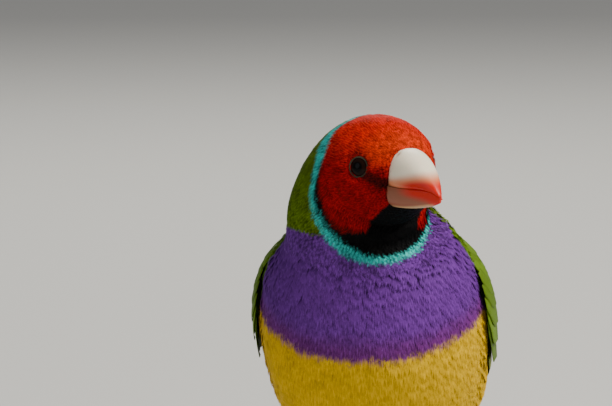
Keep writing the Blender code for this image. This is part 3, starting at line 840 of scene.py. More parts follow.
def makeTuft(name, kind):
    form = barbForm
    rootSpread, moreSpread = form["spreadAlong"]
    rng = np.random.default_rng(kind["seed"])
    points, faces, along, shade = [], [], [], []
    for i in range(kind["barbs"]):
        b = 2 * i / (kind["barbs"] - 1) - 1
        reach = 1.0 - form["sideShortening"] * b * b + rng.uniform(*form["reachSpread"])
        endX = kind["spread"] * b + rng.uniform(-form["endSpread"], form["endSpread"])
        tone = rng.uniform(0, 1)
        roll = rng.uniform(-1, 1) * kind["roll"] * form["rollShare"]
        start = len(points)
        for s in range(kind["segments"] + 1):
            u = s / kind["segments"]
            x, y = endX * (rootSpread + moreSpread * u), reach * u
            z = form["rise"] * (1 - (1 - u) ** 2) - form["droop"] * u * u
            z += form["unevenness"] * rng.uniform(-1, 1) * (u > 0)
            half = kind["barbWidth"] / 2 * (0.75 + 0.5 * math.sin(math.pi * u * 0.8))
            if s == kind["segments"]:
                points.append((x, y, z - form["tipDrop"]))
                along.append(1.0)
                shade.append(tone)
            else:
                points += [(x - half, y, z - roll), (x + half, y, z + roll)]
                along += [u, u]
                shade += [tone, tone]
        for s in range(kind["segments"]):
            a = start + 2 * s
            if s == kind["segments"] - 1:
                faces.append((a, a + 1, a + 2))
            else:
                faces.append((a, a + 1, a + 3, a + 2))
    mesh = bpy.data.meshes.new(name)
    mesh.from_pydata(points, [], faces)
    store(mesh, "number", barbAlong=along, barbShade=shade)
    store(mesh, "vector", tuftPlace=[(x + 0.5, y, 0) for x, y, z in points])
    return linkObject(name, mesh)


tuftLean = {"sideways": 0.03, "over": 0.04}


def buildCoatTree():
    tree = bpy.data.node_groups.new("plumageCoat", "GeometryNodeTree")
    sockets = {
        "Geometry": "Geometry", "Tuft": "Object", "Zone": "String", "Spacing": "Float",
        "Turn Spread": "Float", "Size Spread": "Float", "Seed": "Int", "Material": "Material",
    }
    for label, kind in sockets.items():
        tree.interface.new_socket(label, in_out="INPUT", socket_type="NodeSocket" + kind)
    tree.interface.new_socket("Geometry", in_out="OUTPUT", socket_type="NodeSocketGeometry")
    come = tree.nodes.new("NodeGroupInput").outputs

    def build(kind, inputs, output, **settings):
        return addNode(tree, kind, inputs, **settings).outputs[output]

    def named(name, kind="FLOAT"):
        return build("GeometryNodeInputNamedAttribute", {"Name": name}, "Attribute", data_type=kind)

    def chance(low, high, offset):
        node = addNode(tree, "FunctionNodeRandomValue", data_type="FLOAT")
        least, most = [socket for socket in node.inputs if socket.enabled][:2]
        feed(tree, least, low)
        feed(tree, most, high)
        feed(tree, node.inputs["Seed"], mathNode(tree, "ADD", come["Seed"], offset))
        return next(socket for socket in node.outputs if socket.enabled)

    spacing = come["Spacing"]
    scatter = addNode(
        tree, "GeometryNodeDistributePointsOnFaces",
        {
            "Mesh": come["Geometry"],
            "Distance Min": spacing,
            "Density Max": mathNode(tree, "DIVIDE", 3.0, mathNode(tree, "MULTIPLY", spacing, spacing)),
            "Density Factor": named(come["Zone"]),
            "Seed": come["Seed"],
        },
        distribute_method="POISSON",
    ).outputs
    shaded = build(
        "GeometryNodeStoreNamedAttribute",
        {"Geometry": scatter["Points"], "Name": "tuftShade", "Value": chance(0.0, 1.0, 11)},
        "Geometry", data_type="FLOAT", domain="POINT",
    )
    lying = build(
        "FunctionNodeAxesToRotation",
        {"Primary Axis": scatter["Normal"], "Secondary Axis": named("lie", "FLOAT_VECTOR")},
        "Rotation", primary_axis="Z", secondary_axis="Y",
    )
    sideways, over, most = tuftLean["sideways"], tuftLean["over"], come["Turn Spread"]
    turns = {
        "X": chance(-sideways, sideways, 21),
        "Y": chance(-over, over, 31),
        "Z": chance(mathNode(tree, "MULTIPLY", most, -1.0), most, 41),
    }
    turns = {"Rotation": lying, "Rotate By": build("ShaderNodeCombineXYZ", turns, "Vector")}
    turned = build("FunctionNodeRotateRotation", turns, "Rotation", rotation_space="LOCAL")
    small, large = (mathNode(tree, operation, 1.0, come["Size Spread"]) for operation in ("SUBTRACT", "ADD"))
    sizes = {}
    for axis, key, offset in (("X", "tuftWidth", 51), ("Y", "tuftLength", 61), ("Z", "tuftRise", 71)):
        sizes[axis] = mathNode(tree, "MULTIPLY", named(key), chance(small, large, offset))
    plant = {
        "Points": shaded,
        "Instance": build("GeometryNodeObjectInfo", {"Object": come["Tuft"]}, "Geometry"),
        "Rotation": turned,
        "Scale": build("ShaderNodeCombineXYZ", sizes, "Vector"),
    }
    planted = build("GeometryNodeInstanceOnPoints", plant, "Instances")
    real = build("GeometryNodeRealizeInstances", {"Geometry": planted}, "Geometry")
    coat = build("GeometryNodeSetMaterial", {"Geometry": real, "Material": come["Material"]}, "Geometry")
    feed(tree, tree.nodes.new("NodeGroupOutput").inputs["Geometry"], coat)
    return tree


coatTree = buildCoatTree()
coats = {
    "headCoat": {"zone": "zoneHead", "tuft": "headTuft", "spacing": 0.40, "turn": 0.07, "size": 0.14,
                 "material": headBarbs, "slot": "head_feathers"},
    "neckCoat": {"zone": "zoneNeck", "tuft": "neckTuft", "spacing": 0.50, "turn": 0.05, "size": 0.10,
                 "material": headBarbs, "slot": "neck_feathers"},
    "breastCoat": {"zone": "zoneBreast", "tuft": "bodyTuft", "spacing": 0.80, "turn": 0.06, "size": 0.14,
                   "material": bodyBarbs, "slot": "breast_feathers"},
    "bellyCoat": {"zone": "zoneBelly", "tuft": "bodyTuft", "spacing": 0.92, "turn": 0.08, "size": 0.16,
                  "material": bodyBarbs, "slot": "breast_feathers"},
    "thighCoat": {"zone": "zoneThigh", "tuft": "bodyTuft", "spacing": 0.75, "turn": 0.14, "size": 0.18,
                  "material": bodyBarbs, "slot": "thigh_feathers"},
}
bakePatch = 0.003
guides = ("lie", "tuftLength", "tuftWidth", "tuftRise", "rootUv", "tuftPlace", "tuftWorth", "formPlace")


def dropGuides(mesh):
    for key in list(mesh.attributes.keys()):
        if key.startswith("zone") or key in guides:
            mesh.attributes.remove(mesh.attributes[key])


def growCoat(name, coat, tufts, seed):
    holder = linkObject(name + "Holder", skinPiece.data)
    step = holder.modifiers.new("coat", "NODES")
    step.node_group = coatTree
    values = {
        "Tuft": tufts[coat["tuft"]], "Zone": coat["zone"], "Spacing": coat["spacing"] * mm,
        "Turn Spread": coat["turn"], "Size Spread": coat["size"], "Seed": seed, "Material": coat["material"],
    }
    for item in coatTree.interface.items_tree:
        if item.in_out == "INPUT" and item.name in values:
            step[item.identifier] = values[item.name]
    bpy.context.view_layer.update()
    graph = bpy.context.evaluated_depsgraph_get()
    mesh = bpy.data.meshes.new_from_object(holder.evaluated_get(graph))
    holder.modifiers.clear()
    bpy.data.objects.remove(holder)
    mesh.name = name
    made = linkObject(name, mesh)
    writeTuftUv(mesh)
    if coat["zone"] != "zoneThigh":
        markCoat(mesh)
    dropGuides(mesh)
    declarePiece(made, coat["slot"])
    print(name, "has", sum(len(p.vertices) - 2 for p in mesh.polygons), "triangles")


def readVector(mesh, key):
    values = np.empty(len(mesh.vertices) * 3, np.float32)
    mesh.attributes[key].data.foreach_get("vector", values)
    return values.reshape(-1, 3).astype(float)


def markCoat(mesh):
    # Paints every barb by the place on the form where it ends up, so that the borders stay fine.
    place, worth, own = (readVector(mesh, key) for key in ("formPlace", "tuftWorth", "tuftPlace"))
    angle = np.degrees(np.arctan2(place[:, 2], place[:, 1])) - (own[:, 0] - 0.5) * worth[:, 0]
    base, tip = markings(place[:, 0] - own[:, 1] * worth[:, 1], angle)
    for key, values in (("plumage", base), ("plumageTip", tip)):
        mesh.attributes.remove(mesh.attributes[key])
        store(mesh, "colour", **{key: values})


def writeTuftUv(mesh):
    # Each tuft is a small patch at its root's place.
    root, place = readVector(mesh, "rootUv"), readVector(mesh, "tuftPlace")
    uv = (root + bakePatch * (place - [0.5, 0.5, 0]))[:, :2]
    for layer in list(mesh.uv_layers):
        mesh.uv_layers.remove(layer)
    if "OFBake" in mesh.attributes:
        mesh.attributes.remove(mesh.attributes["OFBake"])
    perCorner = uv[cornerPoints(mesh)].astype(np.float32)
    mesh.uv_layers.new(name="OFBake").data.foreach_set("uv", perCorner.ravel())


tufts = {name: makeTuft(name, kind) for name, kind in tuftKinds.items()}
for seed, (name, coat) in enumerate(coats.items(), 1):
    growCoat(name, coat, tufts, seed)
for made in tufts.values():
    bpy.data.objects.remove(made)
dropGuides(skinPiece.data)
declarePiece(skinPiece, "breast_feathers", "torso", "neck", "head", "thigh_left", "thigh_right")
print("coats grown")

# Bill

bill = {
    "start": -9.3,
    "length": 10.85,
    "width": 7.9,
    "culmen": 3.55,
    "gape": -2.45,
    "chin": -6.35,
    "tip": -4.1,
    "steps": 64,
    "around": 56,
    "mouthGap": 0.10,
    "lowerShare": 0.94,
    "nostrilPlace": (2.35, 0.55),
    "nostrilSize": (0.45, 0.36),
    "nostrilDepth": 0.22,
    "grain": (700.0, 4.0),
    "grainShare": 0.10,
    "bump": (0.15, 0.0001),
    "surface": {
        "Roughness": 0.34,
        "Specular IOR Level": 0.28,
        "Subsurface Weight": 0.12,
        "Subsurface Scale": 0.0012,
        "Subsurface Radius": (1.0, 0.45, 0.25),
    },
}
billColours = {
    "ivory": (0.94, 0.84, 0.66),
    "pink": (0.76, 0.26, 0.12),
    "red": (0.62, 0.010, 0.001),
    # The lower mandible's sides: its own brown, darkened further as painted shade.
    "base": (0.28, 0.095, 0.05),
    "pale": (0.66, 0.40, 0.20),
    # Painted shade in the nostril hollows.
    "dark": (0.30, 0.12, 0.07),
}


def billWidth(s):
    return np.maximum(0.035, np.clip(1 - s**1.6, 0, 1)) * bill["width"] / 2


def billHeights(s):
    culmen = bill["tip"] + (bill["culmen"] - bill["tip"]) * np.clip(1 - s**1.75, 0, 1) ** 0.86
    edge = bill["gape"] + (bill["tip"] + 0.25 - bill["gape"]) * s**6 - 0.12 * np.sin(2 * math.pi * s)
    keel = bill["chin"] + (bill["tip"] - 0.2 - bill["chin"]) * s**2.0
    return culmen, edge, keel


def hornMaterial():
    made, tree, shader = newMaterial("billHorn")
    grain = noiseNode(tree, *bill["grain"])
    toned = mixColour(tree, bill["grainShare"], attributeNode(tree, "hornColour", "Color"), grain, "MULTIPLY")
    finishSurface(tree, shader, toned, bill["surface"], grain, bill["bump"])
    return made


billHorn = hornMaterial()


def nostrilHollow(x, share, rise):
    # 1 in the middle of each nostril, near the base of the upper mandible.
    (aside, ahead), (wide, long) = bill["nostrilPlace"], bill["nostrilSize"]
    hole = ((np.abs(x) - aside) / wide) ** 2 + ((share * bill["length"] - ahead) / long) ** 2
    return np.exp(-hole) * (rise > 0.5)


def upperColours(level, along, nostril):
    c = billColours
    colour = blendRgb(c["ivory"], c["pink"], 1 - ramp(level, 0.4 + 1.6 * along, 1.7 + 2.6 * along))
    redEdge = (1 - ramp(level, 0.15 + 0.9 * along, 0.5 + 2.2 * along)) * ramp(along, 0.12, 0.5)
    colour = blendRgb(colour, c["red"], np.clip(redEdge + ramp(along, 0.84, 0.97), 0, 1))
    # The nostril's hollow is darkened as painted shade.
    return blendRgb(colour, c["dark"], np.clip(nostril * 0.7, 0, 0.6))


def lowerColours(level, along, rise):
    c = billColours
    # The sides take the brown base, which is partly painted shade; the middle underneath is pale.
    colour = blendRgb(c["base"], c["pale"], ramp(rise, 0.80, 0.97))
    redEdge = (1 - ramp(level, 0.2 + 1.0 * along, 0.9 + 2.4 * along)) * ramp(along, 0.15, 0.55)
    colour = blendRgb(colour, c["red"], redEdge)
    return blendRgb(colour, c["red"], ramp(along, 0.70, 0.92))


def makeMandible(name, upper):
    rows, columns = bill["steps"], bill["around"]
    turn = np.linspace(0, math.pi, columns)[None, :]
    share = np.linspace(0, 1, rows)[:, None] * (1 if upper else bill["lowerShare"])
    culmen, edge, keel = billHeights(share)
    half = billWidth(share)
    if upper:
        peak, fullness = np.maximum(culmen, edge + 0.25), 0.78
    else:
        half = np.maximum(0.12, half * (1.08 - 0.2 * share))
        edge = edge - bill["mouthGap"]
        peak, fullness = np.minimum(keel, edge - 0.4), 0.55 + 0.3 * share
    rise = np.sin(turn) ** fullness
    x = half * np.sign(np.cos(turn)) * np.abs(np.cos(turn)) ** fullness
    z = edge + (peak - edge) * rise
    along, rise = np.broadcast_to(share, z.shape), np.broadcast_to(rise, z.shape)
    if upper:
        nostril = nostrilHollow(x, share, rise)
        z = z - bill["nostrilDepth"] * nostril
        colour = upperColours(z - edge, along, nostril)
    else:
        colour = lowerColours(edge - z, along, rise)
    y = bill["start"] - bill["length"] * share + 0 * turn
    points = headPoint(np.stack([x, y, z], -1).reshape(-1, 3))
    faces = gridFaces(rows, columns)
    starts = [i * columns for i in range(rows)]
    faces += [(i, i + columns, i + 2 * columns - 1, i + columns - 1) for i in starts[:-1]]
    faces += [tuple(range(columns)), tuple(starts[-1] + j for j in range(columns))]
    return newMesh(name, points, faces, billHorn, colours={"hornColour": colour})


finishPiece(makeMandible("upperMandible", True), "bill", "bill_upper")
finishPiece(makeMandible("lowerMandible", False), "bill", "bill_lower")
print("bill made")


def eyeMaterial():
    made, tree, shader = newMaterial("eyeWet")
    finishSurface(tree, shader, attributeNode(tree, "irisColour", "Color"), eyes["surface"])
    return made


def lidMaterial():
    made, tree, shader = newMaterial("eyelidSkin")
    wrinkle = noiseNode(tree, *eyes["lidWrinkle"])
    colour = mixColour(tree, wrinkle, *eyes["lidColours"])
    finishSurface(tree, shader, colour, eyes["lidSurface"], wrinkle, eyes["lidBump"])
    return made


eyeWet, eyelidSkin = eyeMaterial(), lidMaterial()


def makeEye(name, side):
    look, across, up = eyeAxes(side)
    rows, around, radius = 38, 48, eyes["radius"]
    polar = np.linspace(0.0, math.pi, rows + 2)[1:-1, None]
    turn = fullTurn(around)[None, :]
    out = np.cos(polar)[..., None] * look + np.sin(polar)[..., None] * (
        np.cos(turn)[..., None] * across + np.sin(turn)[..., None] * up)
    points = eyeCentre(side) + radius * out.reshape(-1, 3)
    points = np.concatenate([points, [eyeCentre(side) + radius * look, eyeCentre(side) - radius * look]])
    count, last = rows * around, (rows - 1) * around
    faces = gridFaces(rows, around, wrap=True)
    faces += [(count, j, (j + 1) % around) for j in range(around)]
    faces += [(count + 1, last + (j + 1) % around, last + j) for j in range(around)]
    fromAxis = np.concatenate([np.broadcast_to(polar, (rows, around)).ravel(), [0, math.pi]])
    iris = blendRgb(eyes["pupil"], eyes["iris"], ramp(fromAxis, *eyes["pupilEdge"]))
    made = newMesh(name, points, faces, eyeWet, colours={"irisColour": iris})
    return finishPiece(made, "eye", nodeName(name))


def makeLid(name, side):
    look, across, up = eyeAxes(side)
    around, wire = 80, 10
    turn, bend = fullTurn(around)[:, None], fullTurn(wire)[None, :]
    unit = np.cos(turn)[..., None] * across + np.sin(turn)[..., None] * up
    blocks, faces = [], []
    for radius, thickness, lift in eyes["lids"]:
        reach = math.sqrt(eyes["radius"] ** 2 - radius**2) + eyes["cover"] + lift
        thick = thickness * (1 + 0.10 * np.sin(turn * 23 + radius * 9) + 0.06 * np.sin(turn * 41))
        points = eyeCentre(side) + look * reach + unit * radius
        points = points + unit * (thick * np.cos(bend))[..., None] + look * (thick * np.sin(bend))[..., None]
        start = len(blocks) * around * wire
        for i in range(around):
            here, after = start + i * wire, start + ((i + 1) % around) * wire
            for j in range(wire):
                k = (j + 1) % wire
                faces.append((here + j, here + k, after + k, after + j))
        blocks.append(points.reshape(-1, 3))
    made = newMesh(name, np.concatenate(blocks), faces, eyelidSkin)
    return finishPiece(made, "head_feathers")


for side, word in ((1, "Left"), (-1, "Right")):
    makeEye("eye" + word, side)
    makeLid("lid" + word, side)
print("eyes made")

# Vanes of the wings and tail


def roundOutline(a):
    end = np.sqrt(np.clip(1 - np.clip((a - 0.62) / 0.385, 0, 1) ** 2, 0, 1))
    return np.maximum(0.04, np.clip(0.55 + 2.2 * a, 0, 1) * end)


def pointedOutline(a):
    return np.maximum(0.04, np.clip(0.5 + 2.0 * a, 0, 1) * (1 - np.clip((a - 0.5) / 0.505, 0, 1) ** 1.8))


def streamerOutline(a):
    narrow = 1 - 0.93 * np.clip((a - 0.33) / 0.5, 0, 1) ** 1.2
    return np.maximum(0.05, np.clip(0.7 + 1.5 * a, 0, 1) * narrow)


def lieAngles(root, tip, share):
    start, end = barePoint(*root), barePoint(*tip)
    t = root[0] + (tip[0] - root[0]) * share
    rows = sectionsAt(t)
    across, dorsal, forward = sectionAxes(rows)
    centre = rows[..., :3]
    along = ((centre - start) * forward).sum(-1) / ((end - start) * forward).sum(-1)
    spot = start + along[..., None] * (end - start) - centre
    high, wide = (spot * dorsal).sum(-1), (spot * across).sum(-1)
    depth = np.where(high > 0, rows[..., 6], rows[..., 7])
    return t, np.degrees(np.arctan2(high / depth, wide / rows[..., 5]))


def bodyVane(root, tip, halfWidth, lifts, shingle, outline, steps, columns, camber=0.12):
    # Points of a vane that lies over the body, as rows along it and columns across it.
    share = np.linspace(0, 1, steps + 1)
    b = np.linspace(-1, 1, columns + 1)
    t, angle = lieAngles(root, tip, share)
    perDegree = np.linalg.norm(barePoint(t, angle + 1) - barePoint(t, angle - 1), axis=-1) / 2
    spread = angle[:, None] + b[None, :] * (halfWidth * outline(share) / perDegree)[:, None]
    lift = lifts[0] + (lifts[1] - lifts[0]) * share[:, None] ** 0.8 + shingle * b[None, :]
    lift = lift + camber * (1 - b[None, :] ** 2) * halfWidth / 2.5
    points = formPoint(t[:, None] + 0 * b[None, :], spread, lift)
    normals = formNormal(t[:, None] + 0 * b[None, :], spread)
    return points, normals, share, b


class VaneHeap:
    # Gathers vanes, then makes one mesh of them.
    def __init__(self):
        self.points, self.faces, self.colour, self.place, self.shade = [], [], [], [], []

    def add(self, points, normals, share, b, side, colour, shade, thick=0.10):
        rows, columns = points.shape[:2]
        start = sum(len(block) for block in self.points)
        taper = thick * (1 - 0.6 * share[:, None] ** 2) * (1 - 0.7 * b[None, :] ** 2) + 0.01
        both = np.stack([points, points + normals * taper[..., None]]).reshape(-1, 3).copy()
        both[:, 0] *= side
        self.points.append(both)
        top = rows * columns
        for i in range(rows - 1):
            for j in range(columns - 1):
                a = start + i * columns + j
                self.faces.append((a, a + columns, a + columns + 1, a + 1))
                self.faces.append((a + top, a + top + 1, a + top + columns + 1, a + top + columns))
        rim = [(i, 0) for i in range(rows)] + [(rows - 1, j) for j in range(1, columns)]
        rim += [(i, columns - 1) for i in range(rows - 2, -1, -1)]
        rim += [(0, j) for j in range(columns - 2, 0, -1)]
        for (i, j), (k, l) in zip(rim, rim[1:] + rim[:1]):
            a, c = start + i * columns + j, start + k * columns + l
            self.faces.append((a, a + top, c + top, c))
        place = np.stack(np.broadcast_arrays(b[None, :], share[:, None], 0 * share[:, None]), -1)
        for _ in range(2):
            self.place.append(place.reshape(-1, 3))
            self.colour.append(np.broadcast_to(colour, (rows, columns, 3)).reshape(-1, 3))
        self.shade.append(np.full(2 * top, shade))

    def make(self, name, material):
        made = newMesh(name, np.concatenate(self.points), self.faces, material,
                       {"vaneShade": np.concatenate(self.shade)}, {"plumage": np.concatenate(self.colour)})
        store(made.data, "vector", vanePlace=np.concatenate(self.place))
        return made


vaneLook = {
    "slant": -0.22,
    "noise": 1400.0,
    "shaftWidth": 14.0,
    "shaftHeight": 2.0,
    "shaftDark": 0.35,
    "depth": 0.55,
    "shades": (0.35, 0.85),
    "bump": (0.4, 0.00005),
    "wingVanes": {"fineness": 210.0, "surface": {"Roughness": 0.55, "Specular IOR Level": 0.12}},
    "tailVanes": {"fineness": 380.0, "surface": {"Roughness": 0.50, "Specular IOR Level": 0.14}},
}


def buildVaneBarbs():
    # Slanting barbs either side of the shaft, from a vane's own place values.
    outputs = {"Tone": "Float", "Height": "Float"}
    group, come, go = newGroup("vaneBarbs", {"Fineness": 60.0, "Depth": 0.3}, outputs)
    own = {"Vector": attributeNode(group, "vanePlace", "Vector")}
    split = addNode(group, "ShaderNodeSeparateXYZ", own).outputs
    aside = mathNode(group, "ABSOLUTE", split["X"])
    slant = mathNode(group, "MULTIPLY_ADD", aside, vaneLook["slant"], split["Y"])
    wave = mathNode(group, "SINE", mathNode(group, "MULTIPLY", slant, come["Fineness"]))
    wave = mathNode(group, "MULTIPLY_ADD", wave, 0.5, 0.5)
    wave = mathNode(group, "MULTIPLY", wave, noiseNode(group, vaneLook["noise"]))
    shaft = mathNode(group, "MULTIPLY", aside, vaneLook["shaftWidth"])
    shaft = mathNode(group, "SUBTRACT", 1.0, shaft, clamp=True)
    height = mathNode(group, "ADD", mathNode(group, "MULTIPLY", shaft, vaneLook["shaftHeight"]), wave)
    tone = mathNode(group, "SUBTRACT", 1.0, mathNode(group, "MULTIPLY", wave, come["Depth"]))
    tone = mathNode(group, "SUBTRACT", tone, mathNode(group, "MULTIPLY", shaft, vaneLook["shaftDark"]))
    group.links.new(tone, go["Tone"])
    group.links.new(height, go["Height"])
    return group


vaneBarbs = buildVaneBarbs()


def vaneMaterial(name):
    made, tree, shader = newMaterial(name)
    inputs = {"Fineness": vaneLook[name]["fineness"], "Depth": vaneLook["depth"]}
    barbs = addNode(tree, "ShaderNodeGroup", inputs, node_tree=vaneBarbs).outputs
    vary = mathNode(tree, "MULTIPLY_ADD", attributeNode(tree, "vaneShade"), *vaneLook["shades"])
    tone = mathNode(tree, "MULTIPLY", barbs["Tone"], vary)
    colour = mixColour(tree, 1.0, attributeNode(tree, "plumage", "Color"), tone, "MULTIPLY")
    finishSurface(tree, shader, colour, vaneLook[name]["surface"], barbs["Height"], vaneLook["bump"])
    return made


wingVanes, tailVanes = vaneMaterial("wingVanes"), vaneMaterial("tailVanes")
wing = {
    "coreStart": 7.05,
    "coreEnd": 3.9,
    "clearance": 0.5,
    "coreLift": 1.1,
    "primaries": 8,
    "secondaries": 6,
    "tertials": ((44, 3.0), (54, 3.25), (63, 3.7)),
    "green": (0.105, 0.190, 0.006),
    "edge": (0.20, 0.25, 0.010),
    "dusky": (0.050, 0.042, 0.024),
    "seed": 21,
}

# Rows of coverts: how many, where they start and end, angles, half width, lifts, and the green of each web
coverts = (
    (9, (6.0, 4.75), (-3, 54), 2.3, (1.0, 1.75), (1.05, 0.75)),
    (9, (6.25, 5.25), (-2, 54), 2.2, (1.1, 1.95), (1.1, 0.9)),
    (9, (6.5, 5.65), (0, 53), 2.1, (1.1, 2.05), (1, 1)),
    (8, (6.72, 5.98), (3, 51), 2.0, (1.0, 2.05), (1, 1)),
    (7, (6.92, 6.25), (6, 49), 1.9, (0.8, 1.95), (0.95, 1)),
    (6, (7.10, 6.52), (10, 46), 1.8, (0.4, 1.75), (0.95, 1)),
    (5, (7.25, 6.78), (14, 44), 1.7, (0.0, 1.4), (0.9, 1)),
)


def between(low, high, i, count):
    return low + (high - low) * i / max(1, count - 1)


def webColour(b, share, outer, inner):
    # The outer web, towards the belly, carries the green edge.
    edge = 1 - ramp(b[None, :], -0.55, 0.1) + 0 * share[:, None]
    return blendRgb(inner, outer, edge)


def makeWing(name, side):
    rng = np.random.default_rng(wing["seed"])
    heap = VaneHeap()
    green, edge, dusky = (np.array(wing[key]) for key in ("green", "edge", "dusky"))

    def vane(root, tip, width, lifts, shingle, outline, steps, columns, outer, inner, camber=0.12):
        wobble = rng.uniform(-1, 1, 4)
        root = (root[0] + 0.02 * wobble[0], root[1] + 0.5 * wobble[1])
        tip = (tip[0] + 0.03 * wobble[2], tip[1] + 0.5 * wobble[3])
        made = bodyVane(root, tip, width, lifts, shingle, outline, steps, columns, camber)
        heap.add(*made, side, webColour(made[3], made[2], outer, inner), rng.uniform(0, 1))

    count = wing["primaries"]
    for i in range(count):
        root = (5.0, between(-2, 12, i, count))
        tip = (between(0.10, 1.95, i, count), between(58, 63, i, count))
        lifts = (0.8, between(0.62, 1.25, i, count))
        vane(root, tip, 2.0, lifts, 0.12, pointedOutline, 30, 8, edge * 0.8, dusky)
    count = wing["secondaries"]
    for i in range(count):
        root = (5.0, between(13, 40, i, count))
        tip = (between(2.30, 2.9, i, count), between(52, 66, i, count))
        lifts = (1.0, between(1.25, 1.7, i, count))
        vane(root, tip, 2.6, lifts, 0.12, roundOutline, 24, 8, green * 1.1, dusky)
    for i, (angle, end) in enumerate(wing["tertials"]):
        lifts = (1.2, 1.75 + 0.15 * i)
        vane((5.1, angle), (end, angle + 13), 3.2, lifts, 0.08, roundOutline, 22, 10, green, green * 0.8)
    for count, (start, end), (low, high), width, lifts, (outer, inner) in coverts:
        for i in range(count):
            angle = between(low, high, i, count)
            webs = (green * outer, green * inner)
            vane((start, angle), (end, angle + 3), width, lifts, 0.08, roundOutline, 12, 8, *webs, 0.16)
    # The arm under the coverts takes the wing's green darkened to 0.6, as painted shade beneath them.
    heap.add(*wingCore(), side, green * 0.6, 0.4, 0.05)
    return finishPiece(heap.make(name, wingVanes), "wing_feathers", nodeName(name))


def wingCore():
    # The folded arm under the coverts.
    share, b = np.linspace(0, 1, 24), np.linspace(-1, 1, 17)
    t = wing["coreStart"] + (wing["coreEnd"] - wing["coreStart"]) * share
    low, high = wingLow(share) + 3, wingHigh(share) - 3
    angle = low[:, None] + (high - low)[:, None] * (b[None, :] + 1) / 2
    swell = np.sqrt(np.clip(1 - b[None, :] ** 2, 0, 1)) * np.clip(0.35 + 2.2 * share, 0, 1)[:, None]
    swell = swell * (1 - 0.6 * ramp(share, 0.7, 1.0))[:, None]
    lift = -0.6 + (wing["clearance"] + 1.3 + wing["coreLift"] * 0.6) * swell
    grid = t[:, None] + 0 * b[None, :]
    return formPoint(grid, angle, lift), formNormal(grid, angle), share, b


makeWing("wingLeft", 1)
makeWing("wingRight", -1)
print("wings made")

tail = {
    "rootRow": 2.0,
    "drop": 23.0,
    "lengths": (62.0, 50.0, 47.0, 44.0, 41.0, 38.0),
    "black": (0.010, 0.010, 0.012),
    "rump": (0.05, 0.26, 0.36),
    "vent": (0.80, 0.76, 0.66),
    "covertRows": 3,
    "covertColumns": 5,
    "covertGap": (1.45, 0.1),
    "covertLength": (17.5, 3.6, 1.1),
    "upper": {"height": (2.15, 0.45), "curl": (-1.1, -0.2), "halfWidth": 1.9},
    "under": {"height": (-2.9, -0.35), "curl": (1.5, 0.0), "halfWidth": 2.1},
    "seed": 9,
}


def tailAxes():
    drop = math.radians(tail["drop"])
    back = np.array([0, math.cos(drop), -math.sin(drop)])
    up = np.array([0, math.sin(drop), math.cos(drop)])
    return sectionsAt(tail["rootRow"])[:3], back, up


def tailVane(start, length, sideways, fan, height, halfWidth, outline, steps, columns, curl=0.0):
    origin, back, up = tailAxes()
    share, b = np.linspace(0, 1, steps + 1)[:, None], np.linspace(-1, 1, columns + 1)[None, :]
    width = halfWidth * outline(share)
    middle = sideways + length * share * math.sin(math.radians(fan))
    lift = height - 0.30 * b**2 * width / halfWidth - 0.011 * middle**2 + curl * share**2
    run = start + length * share + 0 * b
    aside = (middle + b * width)[..., None] * np.array([1.0, 0, 0])
    points = origin + run[..., None] * back + aside + lift[..., None] * up
    return points, np.broadcast_to(up, points.shape), share[:, 0], b[0]


def makeTail():
    rng = np.random.default_rng(tail["seed"])
    heap = VaneHeap()
    black, rump, vent = (np.array(tail[key]) for key in ("black", "rump", "vent"))
    for i, length in enumerate(tail["lengths"]):
        outline, width = (streamerOutline, 2.3) if i == 0 else (pointedOutline, 2.5)
        for side in (-1, 1):
            height = 0.70 - 0.3 * i + 0.1 * (side > 0)
            sideways, fan = side * (0.75 + 0.42 * i), side * (0.25 + 0.75 * i)
            vane = tailVane(2.0, length - 2.0, sideways, fan, height, width, outline, 44, 10)
            heap.add(*vane, 1, black, rng.uniform(0, 1), 0.12)

    def covert(row, length, sideways, cover):
        height, curl = (first + more * row for first, more in (cover["height"], cover["curl"]))
        place = (-1.0 - row, length, sideways, 2.0 * sideways, height, cover["halfWidth"])
        return tailVane(*place, roundOutline, 14, 8, curl)

    (gap, gapLess), (longest, perRow, perColumn) = tail["covertGap"], tail["covertLength"]
    for i in range(tail["covertRows"] * tail["covertColumns"]):
        row, column = divmod(i, tail["covertColumns"])
        sideways = (column - 2) * (gap - gapLess * row)
        length = longest - perRow * row - perColumn * abs(column - 2)
        vane = covert(row, length, sideways, tail["upper"])
        heap.add(*vane, 1, rump * rng.uniform(0.85, 1.15), rng.uniform(0, 1), 0.10)
        vane = covert(row, length + 3, sideways, tail["under"])
        heap.add(*vane, 1, vent, rng.uniform(0, 1), 0.10)
    return finishPiece(heap.make("tailFeathers", tailVanes), "tail_feathers", "tail")


makeTail()
print("tail made")

# Legs, feet and claws

toes = {"inner": (7.6, -21.0), "middle": (11.2, 2.0), "outer": (8.2, 27.0), "hind": (6.6, 184.0)}
foot = {
    "toeRadius": 0.78,
    "toeHeight": 0.66,
    "toePads": 0.10,
    "toeTaper": 0.16,
    "toeEnd": (0.45, (0.93, 1.0)),
    "clawLength": 3.4,
    "clawRadius": 0.52,
    "clawTaper": (0.88, 0.9),
    "clawHeights": (0.68, 0.42, 0.45),
    "skinColours": ((0.58, 0.30, 0.22), (0.80, 0.52, 0.40)),
    "grooveColour": (0.30, 0.13, 0.09),
    "patches": (420.0, 4.0),
    "grain": 3000.0,
    "bump": (0.35, 0.00008),
    "surface": {"Roughness": 0.48, "Subsurface Weight": 0.15, "Subsurface Scale": 0.001},
    "clawColours": ((0.30, 0.19, 0.14), (0.52, 0.36, 0.28)),
    "clawGrain": 1500.0,
    "clawSurface": {"Roughness": 0.35},
}


